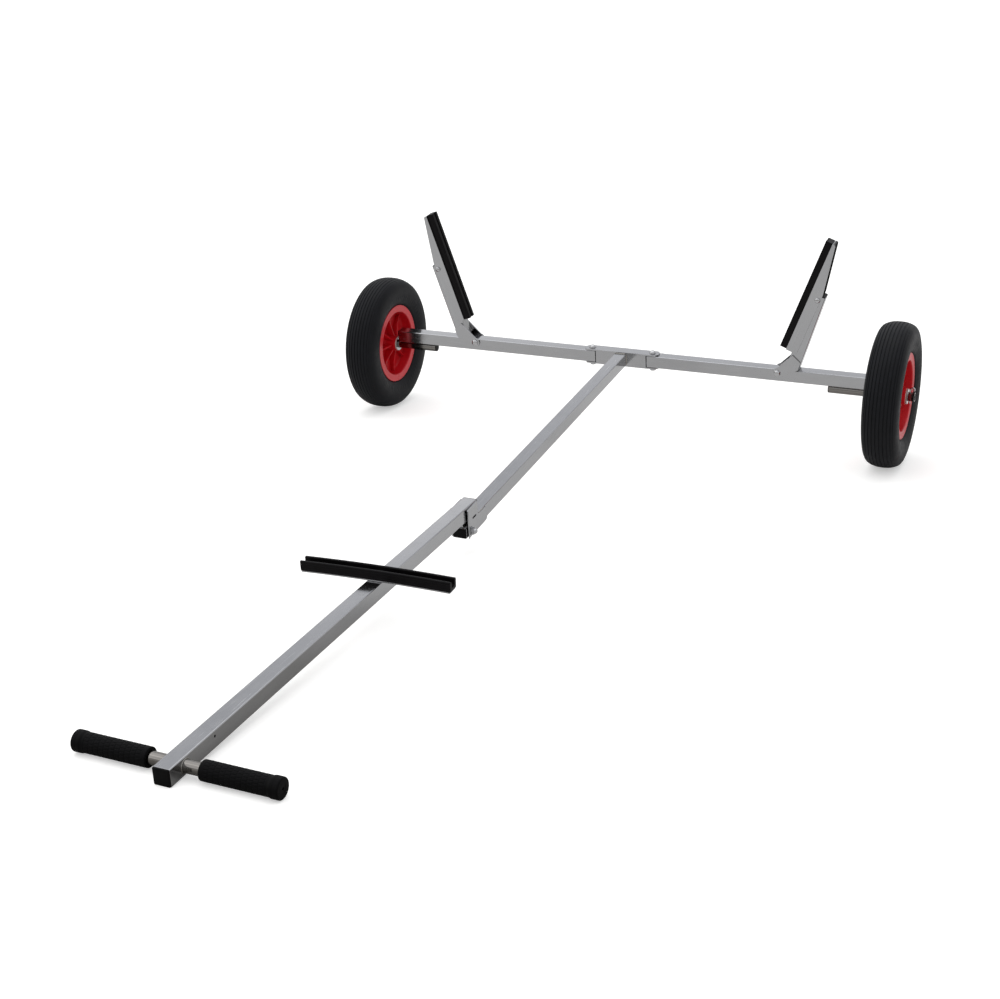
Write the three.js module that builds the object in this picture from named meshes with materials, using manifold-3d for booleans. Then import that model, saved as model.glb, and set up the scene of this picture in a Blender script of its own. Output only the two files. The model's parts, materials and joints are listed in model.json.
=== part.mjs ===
// Folding launching trolley for a small boat: stainless square-tube crossbar on two pneumatic wheels,
// a two-piece drawbar with a fold joint, a cross handle, a bow rest and two padded hull supports.
// Millimetres, +Z up. Origin: on the ground, under the middle of the whole trolley's bounding box.
// X runs along the crossbar: "left" pieces are at -X, "right" pieces at +X. -Y is the front and
// points down the drawbar to the handle. The trolley stands on its tyres and its handle grips, so it
// is modelled in a level frame that is then pitched about the axle.
import * as THREE from "three";
import { mergeVertices } from "three/addons/utils/BufferGeometryUtils.js";
import Module from "manifold-3d";

// ---------- driving dimensions ----------
const TYRE_R = 200;
const TYRE_W = 98;
const AXLE_Z = TYRE_R;
const STAND_DEG = 8.43; // front-down pitch when the grips rest on the ground

const TUBE = 35; // square tube
const WALL = 2;
const HALF = TUBE / 2;
const BORE = HALF - WALL; // half width inside the square tube
const GAP = 0.3; // assembly clearance

// Bolts and their holes
const BOLT_R = 5;
const BOLT_HOLE_R = 5.4;
const NUT_R = 9.2; // across corners
const SMALL_BOLT_R = 4;
const SMALL_HOLE_R = 4.4;

// Crossbar and axle
const AXLE_R = 12.5;
const BEAM_Z = AXLE_Z + AXLE_R + GAP + HALF; // crossbar centre line, level frame
const BEAM_X0 = 79;
const BEAM_X1 = 724;
const HINGE_X = 92; // vertical hinge bolts of the crossbar
const TAB_T = 4; // hinge tabs above and below the beams
const TAB_LOW = BEAM_Z - HALF - GAP; // upper face of the lower tab
const TAB_HIGH = BEAM_Z + HALF + GAP; // lower face of the upper tab
const AXLE_X0 = 605;
const AXLE_X1 = 838;
const CLIP_X = 825;

// Wheels
const WHEEL_X = 777; // wheel centre plane
const RIM_R = 118.5; // rim flange
const RIM_HALF = 38;
const HUB_HALF = 38;
const HUB_BORE_R = AXLE_R + 0.4; // bushes and washers on the axle
const BUSH_END = HUB_HALF + 2.3; // outer face of a bush collar, from the wheel centre plane
const VALVE_DEG = 22.5; // valve angle, midway between two ribs

// Drawbar
const BAR_FRONT_Y = -1071; // front end of the rear drawbar tube
const FOLD_Y = -1059; // rear end of the front drawbar tube
const FOLD_RISE_DEG = 4.1; // the front section climbs from the fold
const PIVOT = new THREE.Vector3(0, -1099, 222.1); // fold pivot bolt, level frame
const FRONT_LEN = 1226;
const HANDLE_AT = 1183; // handle axis, measured along the front tube
const HANDLE_R = 12.5;
const GRIP_X0 = 54;
const GRIP_X1 = 211;
const BOW_AT = 458; // bow rest centre along the front tube
const BOW_HALF = 172;
const BOW_SAG = 3; // its ends sit this much lower than its middle
const BOW_TURN_DEG = 2.3; // turned a little about its single bolt

// Hull supports; heights are measured along the post from the pivot
const ARM_X = 463; // pivot
const ARM_Z = BEAM_Z + 7.5;
const ARM_DEG = 17.4; // outward lean
const ARM_OFF = 34.5; // post centre line, outboard of the pivot line
const POST_A0 = 28.3;
const POST_A1 = 254;
const PLATE_OUT = HALF + 4.2; // outer face of the pivot plates
const TILT_AT = 243; // rivet the pad carrier tilts on
const TILT_DEG = { left: 0, right: 3.5 };
const CHANNEL_HALF = HALF + 0.4; // half width inside the pad carrier
const PAD_A0 = 74;
const PAD_A1 = 403;
const PAD_BACK = 10; // inboard face of the pad carrier, outboard of the pivot line
const PAD_T = 19.5;
const PAD_HALF = 16;

// Cutting tools
const PAST = 1; // how far a tool runs past the face it opens
const DRILL_REACH = 60; // half length of a through drill

// ---------- transforms and spans ----------
const { degToRad } = THREE.MathUtils;
const matrix = () => new THREE.Matrix4();
const move = (x, y, z) => matrix().makeTranslation(x, y, z);
const turnX = (deg) => matrix().makeRotationX(degToRad(deg));
const turnY = (deg) => matrix().makeRotationY(degToRad(deg));
const turnZ = (deg) => matrix().makeRotationZ(degToRad(deg));

// A span is a pair of ends in either order.
const about = (half, middle = 0) => [middle - half, middle + half];
const lengthOf = ([from, to]) => Math.abs(to - from);
const middleOf = ([from, to]) => (from + to) / 2;
const grow = (span, by) => about(lengthOf(span) / 2 + by, middleOf(span));
const toSide = (sign, ...values) => values.map((value) => sign * value);

// Orders a value for the running axis and the two cross values as x, y, z.
const onAxes = (axis, run, [first, second]) =>
  ({ x: [run, first, second], y: [first, run, second], z: [first, second, run] })[axis];

// ---------- solids ----------
const wasm = await Module();
wasm.setup();

function solid(geometry, ...transforms) {
  const bare = geometry.index ? geometry.toNonIndexed() : geometry.clone();
  bare.deleteAttribute("normal");
  bare.deleteAttribute("uv");
  for (const transform of transforms) bare.applyMatrix4(transform);
  const welded = mergeVertices(bare, 1e-4);
  return new wasm.Manifold(
    new wasm.Mesh({
      numProp: 3,
      vertProperties: new Float32Array(welded.attributes.position.array),
      triVerts: new Uint32Array(welded.index.array),
    }),
  );
}

const cut = (body, ...tools) => tools.reduce((rest, tool) => rest.subtract(tool), body);

function box(...spans) {
  return solid(new THREE.BoxGeometry(...spans.map(lengthOf)), move(...spans.map(middleOf)));
}

// Round bar along an axis; `at` is its place on the other two axes.
function rod(axis, radius, span, at, segments, endRadius = radius) {
  const turn = { x: turnZ(-90), y: matrix(), z: turnX(90) }[axis];
  return solid(
    new THREE.CylinderGeometry(endRadius, radius, lengthOf(span), segments),
    turn,
    move(...onAxes(axis, middleOf(span), at)),
  );
}

// Through-hole tool along an axis, centred on the point.
function drill(axis, radius, point, segments = 14) {
  const run = "xyz".indexOf(axis);
  const at = [...point].filter((_, i) => i !== run);
  return rod(axis, radius, about(DRILL_REACH, point[run] ?? 0), at, segments);
}

function hexNut(axis, span, at, boreSegments = 14) {
  return cut(
    rod(axis, NUT_R, span, at, 6),
    rod(axis, BOLT_HOLE_R, grow(span, PAST), at, boreSegments),
  );
}

const squareBar = (axis, half, span, [first, second]) =>
  box(...onAxes(axis, span, [about(half, first), about(half, second)]));

const squareTube = (axis, span, at) =>
  cut(squareBar(axis, HALF, span, at), squareBar(axis, BORE, grow(span, PAST), at));

// Square tube plug: a head outside the tube and an insert in its bore.
const squarePlug = (axis, at, { headHalf, head, insert }) =>
  squareBar(axis, headHalf, head, at).add(squareBar(axis, BORE - GAP, insert, at));

function prism(points, depth, ...transforms) {
  const shape = new THREE.Shape(points.map(([x, y]) => new THREE.Vector2(x, y)));
  const options = { depth, bevelEnabled: false, steps: 1 };
  return solid(new THREE.ExtrudeGeometry(shape, options), ...transforms);
}
// Outline in Y and Z, extruded along X.
const prismX = (points, [x0, x1]) =>
  prism(points, x1 - x0, matrix().set(0, 0, 1, x0, 1, 0, 0, 0, 0, 1, 0, 0, 0, 0, 0, 1));
// Outline in X and Z, extruded along Y.
const prismY = (points, [y0, y1]) =>
  prism(points, y1 - y0, matrix().set(1, 0, 0, 0, 0, 0, -1, y1, 0, 1, 0, 0, 0, 0, 0, 1));
// Outline in X and Y, extruded along Z.
const prismZ = (points, [z0, z1]) => prism(points, z1 - z0, move(0, 0, z0));

// Outline drawn for +X, mirrored for the left side with its winding kept.
const handed = (sign, points) =>
  sign > 0 ? points : points.map(([x, other]) => [-x, other]).reverse();

// Lathe about Y; profile points are [radius, height], with the outer side running upward.
function revolve(profile, segments, ...transforms) {
  const points = profile.map(([radius, height]) => new THREE.Vector2(radius, height));
  return solid(new THREE.LatheGeometry(points, segments), ...transforms);
}
// Lathe about X; profile points are [radius, x], with x counted towards the side of `sign`.
const latheX = (profile, segments, at, sign = 1) =>
  revolve(profile, segments, turnZ(-90 * sign), move(...at));
const closed = (profile) => [...profile, profile[0]];
const mirrorProfile = (profile) => profile.map(([radius, x]) => [radius, -x]).reverse();

const dome = (radius, height) => [
  [0, 0], [radius, 0], [radius * 0.97, height * 0.35], [radius * 0.58, height * 0.84], [0, height],
];

// ---------- materials ----------
const standard = (look) => new THREE.MeshStandardMaterial(look);
const steel = () => standard({ color: 0xa3a4a6, roughness: 0.3, metalness: 0.95 });
const bright = () => standard({ color: 0xc4c5c8, roughness: 0.18, metalness: 1 });
const rubber = () => standard({ color: 0x18181a, roughness: 0.75, metalness: 0 });
const blackPlastic = () => standard({ color: 0x101011, roughness: 0.5, metalness: 0 });
const red = () => standard({ color: 0xb5101c, roughness: 0.38, metalness: 0 });
const nylon = () => standard({ color: 0xd8d6cc, roughness: 0.5, metalness: 0 });

// ---------- frames ----------
function frame(parent, [x, y, z]) {
  const group = new THREE.Group();
  group.position.set(x, y, z);
  parent.add(group);
  return group;
}

const trolley = new THREE.Group();
const standing = frame(trolley, [0, 0, AXLE_Z]);
standing.rotation.x = degToRad(STAND_DEG);
const level = frame(standing, [0, 0, -AXLE_Z]);
// Front drawbar section: y = 0 at the tube's rear end, z = 0 at its underside.
const front = frame(level, [0, FOLD_Y, TAB_HIGH]);
front.rotation.x = -degToRad(FOLD_RISE_DEG);

function addPiece(group, name, shape, material) {
  const { vertProperties, triVerts } = shape.getMesh();
  const geometry = new THREE.BufferGeometry();
  const positions = new Float32Array(vertProperties);
  geometry.setAttribute("position", new THREE.BufferAttribute(positions, 3));
  geometry.setIndex(new THREE.BufferAttribute(new Uint32Array(triVerts), 1));
  geometry.computeVertexNormals();
  const mesh = new THREE.Mesh(geometry, material);
  mesh.name = name;
  group.add(mesh);
}

// ---------- crossbar centre section ----------
function addCentreSection() {
  const coreX = 68; // half length of the centre tube
  const frontWallX = 76.5; // its front wall reaches further out
  const tabX = 112; // half length of the tabs
  const cutX = tabX - 7; // corner cut of the tabs
  const cutY = HALF - 10;
  const overlap = 0.2; // the tube runs this far into the tabs
  const coreZ = [TAB_LOW - overlap, TAB_HIGH + overlap];
  const tab = [
    [-tabX, -cutY], [-cutX, -HALF], [cutX, -HALF], [tabX, -cutY],
    [tabX, cutY], [cutX, HALF], [-cutX, HALF], [-tabX, cutY],
  ];
  const body = cut(
    box(about(coreX), about(HALF), coreZ),
    box(about(coreX + PAST), about(BORE), about(BORE, BEAM_Z)),
  )
    .add(box(about(frontWallX), [-HALF, -BORE], coreZ))
    .add(prismZ(tab, [TAB_HIGH, TAB_HIGH + TAB_T]))
    .add(prismZ(tab, [TAB_LOW - TAB_T, TAB_LOW]));
  const holes = [-HINGE_X, HINGE_X].map((x) => drill("z", BOLT_HOLE_R, [x, 0, BEAM_Z]));
  addPiece(level, "center_section", cut(body, ...holes), steel());
}

// ---------- rear drawbar and fold joint ----------
function addRearDrawbar() {
  const rearY = -HALF - GAP;
  const solidEnd = 30; // the bore stops this far short of the rear end
  const tube = cut(
    squareBar("y", HALF, [BAR_FRONT_Y, rearY], [0, BEAM_Z]),
    squareBar("y", BORE, [BAR_FRONT_Y - PAST, rearY - solidEnd], [0, BEAM_Z]),
  );
  addPiece(level, "rear_drawbar_tube", tube, steel());
}

// Slot with round ends in the fold plates, in Y and Z.
function slotOutline() {
  const radius = 2.4;
  const end = (y, startAngle) =>
    Array.from({ length: 8 }, (_, i) => {
      const angle = startAngle + (i * Math.PI) / 7;
      return [y + radius * Math.cos(angle), 250 + radius * Math.sin(angle)];
    });
  return [...end(-1088, Math.PI / 2), ...end(-1072, -Math.PI / 2)];
}

// Fork plate: flat along the rear tube, flared outward at the front edge.
function addFoldPlate(name, sign) {
  const inner = HALF + GAP;
  const thick = 3;
  const flare = inner + 3.4;
  // [x, y]
  const plan = [
    [inner, -1010], [inner, -1109.5], [flare, -1116.8],
    [flare + thick * 0.9, -1115.6], [inner + thick, -1108.6], [inner + thick, -1010],
  ];
  // [y, z]
  const sideView = [
    [-1116.6, 209], [-1018, 210.6], [-1012, 216], [-1012, 244.5],
    [-1050, 245.5], [-1060.5, 247], [-1060.5, 281.6], [-1116.6, 281.6],
  ];
  const plate = cut(
    prismZ(handed(sign, plan), [200, 300]).intersect(prismX(sideView, about(40))),
    prismX(slotOutline(), about(40)),
    drill("x", BOLT_HOLE_R, PIVOT),
  );
  addPiece(level, "fold_plate_" + name, plate, steel());
}

function addFoldPivot() {
  const at = [PIVOT.y, PIVOT.z];
  const nearFace = 21.4; // head and nut seat this far from the middle
  const nutEnd = 28;
  const capX = 27.6;
  // [radius, x]
  const head = [[0, -28.5], [5.4, -27.6], [9, -23.8], [9, -nearFace], [0, -nearFace]];
  const cap = [[0, capX], [6.9, capX], [6.4, 31], [3.8, 33.8], [0, 34.8]];
  const bolt = rod("x", BOLT_R, [-23, 27], at, 14).add(latheX(head, 14, PIVOT));
  const nut = hexNut("x", [nearFace, nutEnd], at, 12).add(latheX(cap, 14, PIVOT));
  addPiece(level, "fold_pivot_bolt", bolt, bright());
  addPiece(level, "fold_pivot_nut", nut, bright());
}

// ---------- front drawbar section ----------
function addFrontTube() {
  const at = [0, HALF];
  const tube = cut(
    squareTube("y", [-FRONT_LEN, 0], at),
    drill("x", HANDLE_R + GAP, [0, -HANDLE_AT, HALF], 24),
    // small hole in the +X wall only
    rod("x", 2.6, [10, HALF + PAST], [-1093, TUBE - 11], 10),
    // bow rest bolt hole in the top wall only
    rod("z", SMALL_HOLE_R, [TUBE - WALL - PAST, TUBE + PAST], [0, -BOW_AT], 16),
  );
  addPiece(front, "front_drawbar_tube", tube, steel());
  const rearPlug = squarePlug("y", at, { headHalf: HALF, head: [GAP, 2.3], insert: [-14, 1] });
  addPiece(front, "front_tube_rear_plug", rearPlug, blackPlastic());
  const endCap = squarePlug("y", at, {
    headHalf: HALF - 0.4,
    head: [-FRONT_LEN - 3.6, -FRONT_LEN - GAP],
    insert: [-FRONT_LEN - 1, -FRONT_LEN + 16],
  });
  addPiece(front, "front_end_cap", endCap, blackPlastic());
}

// A flat tube round the fold pivot, with a web up to the front tube.
function addHingeBlock() {
  const xAxis = new THREE.Vector3(1, 0, 0);
  const pivot = PIVOT.clone().sub(front.position).applyAxisAngle(xAxis, degToRad(FOLD_RISE_DEG));
  const frontY = pivot.y - 22;
  const rearY = pivot.y + 19;
  const halfHigh = 12.5;
  const halfBore = halfHigh - WALL;
  const block = cut(
    box(about(HALF), [frontY, rearY], about(halfHigh, pivot.z)),
    box(about(BORE), [frontY - PAST, rearY + PAST], about(halfBore, pivot.z)),
  ).add(box(about(7), [frontY + 3, rearY], [pivot.z + 11, -GAP]));
  const drilled = cut(block, drill("x", BOLT_HOLE_R, pivot));
  addPiece(front, "fold_hinge_block", drilled, steel());
  const plug = box(
    about(HALF - 0.3), [frontY - 2.3, frontY - GAP], about(halfHigh - 0.3, pivot.z),
  ).add(box(about(BORE - GAP), [frontY - 1, frontY + 10], about(halfBore - GAP, pivot.z)));
  addPiece(front, "hinge_block_plug", plug, blackPlastic());
}

function addHandle() {
  const at = [-HANDLE_AT, HALF];
  const halfLength = GRIP_X1 - 9;
  const tube = cut(
    rod("x", HANDLE_R, about(halfLength), at, 24),
    rod("x", HANDLE_R - 1.5, about(halfLength + PAST), at, 16),
  );
  addPiece(front, "handle_tube", tube, bright());
}

function addGrip(name, sign) {
  const bore = HANDLE_R + GAP + 0.1;
  const length = GRIP_X1 - GRIP_X0;
  const boreEnd = length - 8.6;
  const vent = 2.5; // small hole through the closed end
  // [radius, x from the inboard end]
  const profile = closed([
    [bore, 0], [17.6, 0], [19, 1.6], [19, length - 21], [19.6, length - 18],
    [20.4, length - 15], [20.4, length - 2.4], [18.6, length],
    [vent, length], [vent, boreEnd], [bore, boreEnd],
  ]);
  const grip = latheX(profile, 22, [sign * GRIP_X0, -HANDLE_AT, HALF], sign);
  addPiece(front, "grip_" + name, grip, rubber());
}

// Arched band in X and Z, between two heights at its middle.
function archBand(low, high, half) {
  const steps = 12;
  const edge = (z) =>
    Array.from({ length: steps + 1 }, (_, i) => {
      const x = -half + (2 * half * i) / steps;
      return [x, z - BOW_SAG * (x / BOW_HALF) ** 2];
    });
  return [...edge(low), ...edge(high).reverse()];
}

// Arched steel strip and rubber U-profile across the front tube, one bolt in the groove.
function addBowRest() {
  const base = TUBE + GAP;
  const railTop = base + 3;
  const grooveFloor = base + 10;
  const turned = frame(front, [0, -BOW_AT, 0]);
  turned.rotation.z = degToRad(BOW_TURN_DEG);
  const hole = drill("z", SMALL_HOLE_R, [0, 0, base], 16);
  const rail = cut(prismY(archBand(base, railTop, BOW_HALF), about(14)), hole);
  const pad = cut(
    prismY(archBand(railTop + GAP, base + 26, BOW_HALF + 1.5), about(15)),
    prismY(archBand(grooveFloor, base + 30, BOW_HALF + 4), about(8.5)),
    hole,
  );
  addPiece(turned, "bow_rest_rail", rail, steel());
  addPiece(turned, "bow_rest_rubber", pad, rubber());
  const at = [0, -BOW_AT];
  const bolt = rod("z", SMALL_BOLT_R, [TUBE - 14, grooveFloor + 1], at, 16).add(
    rod("z", 7, [grooveFloor + GAP, base + 14], at, 16, 5),
  );
  addPiece(front, "bow_rest_bolt", bolt, bright());
}

// ---------- crossbar beam and its hinge, one side ----------
function addBeam(name, sign) {
  const beam = cut(
    squareTube("x", toSide(sign, BEAM_X0, BEAM_X1), [0, BEAM_Z]),
    drill("z", BOLT_HOLE_R, [sign * HINGE_X, 0, BEAM_Z]),
    drill("y", BOLT_HOLE_R, [sign * ARM_X, 0, ARM_Z]),
  );
  addPiece(level, "crossbar_beam_" + name, beam, steel());
  const plug = squarePlug("x", [0, BEAM_Z], {
    headHalf: HALF - 0.3,
    head: toSide(sign, BEAM_X1 + GAP, BEAM_X1 + 2.6),
    insert: toSide(sign, BEAM_X1 - 12, BEAM_X1 + 1),
  });
  addPiece(level, "beam_end_plug_" + name, plug, blackPlastic());
}

function addHingeBolt(name, sign) {
  const at = [sign * HINGE_X, 0];
  const under = TAB_LOW - TAB_T;
  const over = TAB_HIGH + TAB_T;
  // [radius, height]
  const head = [[0, 0], [9.5, 0], [9.3, 2.6], [5.6, 6.2], [0, 7.4]];
  const bolt = rod("z", BOLT_R, [under - 9, over + 1], at, 14).add(
    revolve(head, 14, turnX(90), move(...at, over + GAP)),
  );
  addPiece(level, "hinge_bolt_" + name, bolt, bright());
  const nut = hexNut("z", [under - GAP - 8, under - GAP], at);
  addPiece(level, "hinge_nut_" + name, nut, bright());
}

// ---------- axle and wheel, one side ----------
function addAxle(name, sign) {
  const span = toSide(sign, AXLE_X0, AXLE_X1);
  const tube = cut(
    rod("x", AXLE_R, span, [0, AXLE_Z], 24),
    rod("x", AXLE_R - 2.5, grow(span, PAST), [0, AXLE_Z], 16),
    drill("z", 2.7, [sign * CLIP_X, 0, AXLE_Z], 10),
  );
  addPiece(level, "axle_tube_" + name, tube, steel());
  // [radius, x from the inboard end of the axle]
  const profile = [[0, -2.4], [12, -2.4], [12, -GAP], [9.6, -GAP], [9.6, 12], [0, 12]];
  const plug = latheX(profile, 20, [sign * AXLE_X0, 0, AXLE_Z], sign);
  addPiece(level, "axle_plug_" + name, plug, blackPlastic());
}

// From a frame with the wheel axis on Y, outboard positive, to the wheel's place.
const wheelPlace = (sign) => [turnZ(-90 * sign), move(sign * WHEEL_X, 0, AXLE_Z)];
const wheelLathe = (sign, profile, segments) => revolve(profile, segments, ...wheelPlace(sign));

// Radial rod at the valve, between two radii.
function valveRod(sign, radius, span, segments) {
  return solid(
    new THREE.CylinderGeometry(radius, radius, lengthOf(span), segments),
    turnX(90),
    move(0, 15, middleOf(span)),
    turnY(VALVE_DEG),
    ...wheelPlace(sign),
  );
}

function addTyre(name, sign) {
  // Inboard half of the section, [radius, x]: up the inside, round the bead, out to the tread
  const inboard = [
    [183.5, -34.5], [162, -42], [130, -35.5], [116, -26], [105.4, -26], [105.4, -32.6],
    [RIM_R + 1.4, -34.4], [128, -41.5], [146, -47.6], [163, -TYRE_W / 2],
    [181, -46], [192, -37.5], [198, -23],
  ];
  const section = closed([[193, 0], ...inboard, [TYRE_R, 0], ...mirrorProfile(inboard)]);
  addPiece(level, "tyre_" + name, wheelLathe(sign, section, 32), rubber());
}

function addRim(name, sign) {
  // Inboard half of the section, [radius, x]: hub, web, flange, rim well
  const inboard = [
    [16.8, -HUB_HALF], [22.5, -HUB_HALF], [25, -4], [95, -4], [99.6, -RIM_HALF + 1.5],
    [RIM_R, -RIM_HALF], [RIM_R, -RIM_HALF + 2.6], [104, -RIM_HALF + 4.6],
  ];
  const ribOutline = [[20.5, 2], [20.5, 27], [99.5, 16], [99.5, 2]]; // [radius, x]
  const ribThick = 5;
  const ribCount = 8; // on each face of the web
  let rim = wheelLathe(sign, closed([...inboard, ...mirrorProfile(inboard)]), 28);
  for (let i = 0; i < ribCount; i++) {
    for (const faceTurn of [matrix(), turnX(180)]) {
      const place = [faceTurn, turnY((i * 360) / ribCount), ...wheelPlace(sign)];
      rim = rim.add(prism(ribOutline, ribThick, move(0, 0, -ribThick / 2), ...place));
    }
  }
  rim = cut(rim, valveRod(sign, 4.6, [92, 112], 12));
  addPiece(level, "rim_" + name, rim, red());
}

// Hollow inner tube with its valve stem, open at the valve bore.
function addInnerTube(name, sign) {
  const wall = 2.5;
  const ring = (inset) => {
    const profile = Array.from({ length: 8 }, (_, i) => {
      const angle = (i * Math.PI) / 4;
      return [150 + (32 - inset) * Math.cos(angle), (31 - inset) * Math.sin(angle)];
    });
    return wheelLathe(sign, closed(profile), 18);
  };
  const tube = cut(
    ring(0).add(valveRod(sign, 4, [82, 128], 8)),
    ring(wall),
    valveRod(sign, 1.6, [80, 140], 8),
  );
  addPiece(level, "inner_tube_" + name, tube, rubber());
}

function addBearings(name, sign) {
  const collar = HUB_HALF + GAP;
  const washer = BUSH_END + GAP;
  const washerEnd = washer + 2.2;
  // Outboard sections, [radius, x]
  const bushSection = closed([
    [HUB_BORE_R, 18], [16.4, 18], [16.4, collar],
    [20.5, collar], [20.5, BUSH_END], [HUB_BORE_R, BUSH_END],
  ]);
  const washerSection = closed([
    [HUB_BORE_R, washer], [21, washer], [21, washerEnd], [HUB_BORE_R, washerEnd],
  ]);
  const ends = { inner: mirrorProfile, outer: (profile) => profile };
  for (const [end, place] of Object.entries(ends)) {
    const bush = wheelLathe(sign, place(bushSection), 24);
    const ring = wheelLathe(sign, place(washerSection), 24);
    addPiece(level, `bearing_bush_${end}_${name}`, bush, nylon());
    addPiece(level, `hub_washer_${end}_${name}`, ring, bright());
  }
}

// Spring clip through the axle end.
function addClip(name, sign) {
  const wireR = 1.9;
  // [outboard of the clip hole, above the axle]
  const path = [
    [0, -20], [0, -8], [0, 4], [0, 16], [0.6, 21.5], [3.6, 25.6], [8.6, 26], [11.4, 22], [10.6, 17],
  ];
  const extrudePath = new THREE.CatmullRomCurve3(
    path.map(([x, z]) => new THREE.Vector3(sign * (CLIP_X + x), 0, AXLE_Z + z)),
  );
  const hexagon = Array.from({ length: 6 }, (_, i) => {
    const angle = (i * Math.PI) / 3;
    return new THREE.Vector2(wireR * Math.cos(angle), wireR * Math.sin(angle));
  });
  const options = { steps: 18, extrudePath, bevelEnabled: false };
  const clip = solid(new THREE.ExtrudeGeometry(new THREE.Shape(hexagon), options));
  addPiece(level, "axle_clip_" + name, clip, bright());
}

// ---------- hull support, one side ----------
// Post with two pivot plates that straddle the beam.
function addPost(arm, name, sign) {
  const outline = Array.from({ length: 11 }, (_, i) => {
    const angle = degToRad(118 + (i * 195) / 10);
    return [14 * Math.cos(angle), 14 * Math.sin(angle)];
  });
  outline.push([50.5, 30], [50.5, 54], [22.5, 67]);
  const farX = toSide(sign, -60, 80);
  const inboardX = toSide(sign, -60, ARM_OFF - HALF - 0.01);
  const plates = cut(
    prismY(handed(sign, outline), about(PLATE_OUT)),
    box(farX, about(HALF - 0.05), [-30, 90]),
    // assembly clearance to the beam, below the post and inboard of it
    box(farX, about(HALF + GAP), [-30, POST_A0 - 0.01]),
    box(inboardX, about(HALF + GAP), [-30, 90]),
  );
  const at = [sign * ARM_OFF, 0];
  const post = cut(
    squareTube("z", [POST_A0, POST_A1], at).add(plates),
    drill("y", BOLT_HOLE_R, [0, 0, 0]),
    drill("y", SMALL_HOLE_R, [...at, TILT_AT], 16),
  );
  addPiece(arm, "support_post_" + name, post, steel());
  const plug = squarePlug("z", at, {
    headHalf: HALF - 0.3,
    head: [POST_A1 + GAP, POST_A1 + 2.6],
    insert: [POST_A1 - 5.5, POST_A1 + 1],
  });
  addPiece(arm, "post_plug_" + name, plug, blackPlastic());
}

function addSupportPivot(arm, name) {
  const seat = PLATE_OUT + GAP;
  const end = PLATE_OUT + 8;
  const bolt = rod("y", BOLT_R, [-seat - 1, end], [0, 0], 14).add(
    revolve(dome(9.5, 7), 14, turnX(180), move(0, -seat, 0)),
  );
  addPiece(arm, "support_pivot_bolt_" + name, bolt, bright());
  addPiece(arm, "support_pivot_nut_" + name, hexNut("y", [seat, end], [0, 0]), bright());
}

function addTiltRivet(arm, name, sign) {
  const seat = CHANNEL_HALF + WALL + GAP;
  const x = sign * ARM_OFF;
  const head = dome(7.5, 5.4);
  const rivet = rod("y", SMALL_BOLT_R, about(seat + 1), [x, TILT_AT], 12)
    .add(revolve(head, 12, turnX(180), move(x, -seat, TILT_AT)))
    .add(revolve(head, 12, move(x, seat, TILT_AT)));
  addPiece(arm, "tilt_rivet_" + name, rivet, bright());
}

// Pad carrier: a channel open outboard, round the post.
function addPadChannel(tilt, name, sign) {
  // [outboard of the pivot line, height along the post]
  const outline = [
    [PAD_BACK, PAD_A0], [42, PAD_A0], [42, 262],
    [19.5, PAD_A1 - 3], [16.5, PAD_A1], [PAD_BACK, PAD_A1],
  ].map(([x, z]) => [x - ARM_OFF, z - TILT_AT]);
  const channel = cut(
    prismY(handed(sign, outline), about(CHANNEL_HALF + WALL)),
    box(
      toSide(sign, PAD_BACK + WALL - ARM_OFF, 60 - ARM_OFF),
      about(CHANNEL_HALF),
      [PAD_A0 - 5 - TILT_AT, PAD_A1 + 5 - TILT_AT],
    ),
    drill("y", SMALL_HOLE_R, [0, 0, 0], 16),
  );
  addPiece(tilt, "pad_channel_" + name, channel, steel());
}

// Rubber pad: two lips with a shallow groove between them.
function addPad(tilt, name, sign) {
  const back = PAD_BACK - GAP - ARM_OFF;
  const face = PAD_BACK - PAD_T - ARM_OFF;
  const bevel = 2.5;
  const groove = face + 4;
  // [x, y]
  const section = [
    [back, -PAD_HALF], [back, PAD_HALF], [face + bevel, PAD_HALF], [face, PAD_HALF - bevel],
    [face, 5], [groove, 3], [groove, -3], [face, -5],
    [face, -PAD_HALF + bevel], [face + bevel, -PAD_HALF],
  ];
  const pad = prismZ(handed(sign, section), [PAD_A0 + 1 - TILT_AT, PAD_A1 + 1 - TILT_AT]);
  addPiece(tilt, "pad_rubber_" + name, pad, rubber());
}

// Arm frame: z along the post, origin at the pivot. Tilt frame: origin at the rivet.
function addHullSupport(name, sign) {
  const arm = frame(level, [sign * ARM_X, 0, ARM_Z]);
  arm.rotation.y = degToRad(sign * ARM_DEG);
  addPost(arm, name, sign);
  addSupportPivot(arm, name);
  addTiltRivet(arm, name, sign);
  const tilt = frame(arm, [sign * ARM_OFF, 0, TILT_AT]);
  tilt.rotation.y = degToRad(sign * TILT_DEG[name]);
  addPadChannel(tilt, name, sign);
  addPad(tilt, name, sign);
}

// ---------- assembly ----------
const SIDES = [["left", -1], ["right", 1]];
addCentreSection();
addRearDrawbar();
for (const [name, sign] of SIDES) addFoldPlate(name, sign);
addFoldPivot();
addFrontTube();
addHingeBlock();
addHandle();
for (const [name, sign] of SIDES) addGrip(name, sign);
addBowRest();
const sideParts = [
  addBeam, addHingeBolt, addAxle, addTyre, addRim, addInnerTube, addBearings, addClip,
  addHullSupport,
];
for (const [name, sign] of SIDES) {
  for (const addPart of sideParts) addPart(name, sign);
}

// Origin to ground level, under the middle of the bounding box.
trolley.updateMatrixWorld(true);
const bounds = new THREE.Box3().setFromObject(trolley, true);
standing.position.x -= (bounds.min.x + bounds.max.x) / 2;
standing.position.y -= (bounds.min.y + bounds.max.y) / 2;
standing.position.z -= bounds.min.z;
trolley.updateMatrixWorld(true);

export default trolley;
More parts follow.
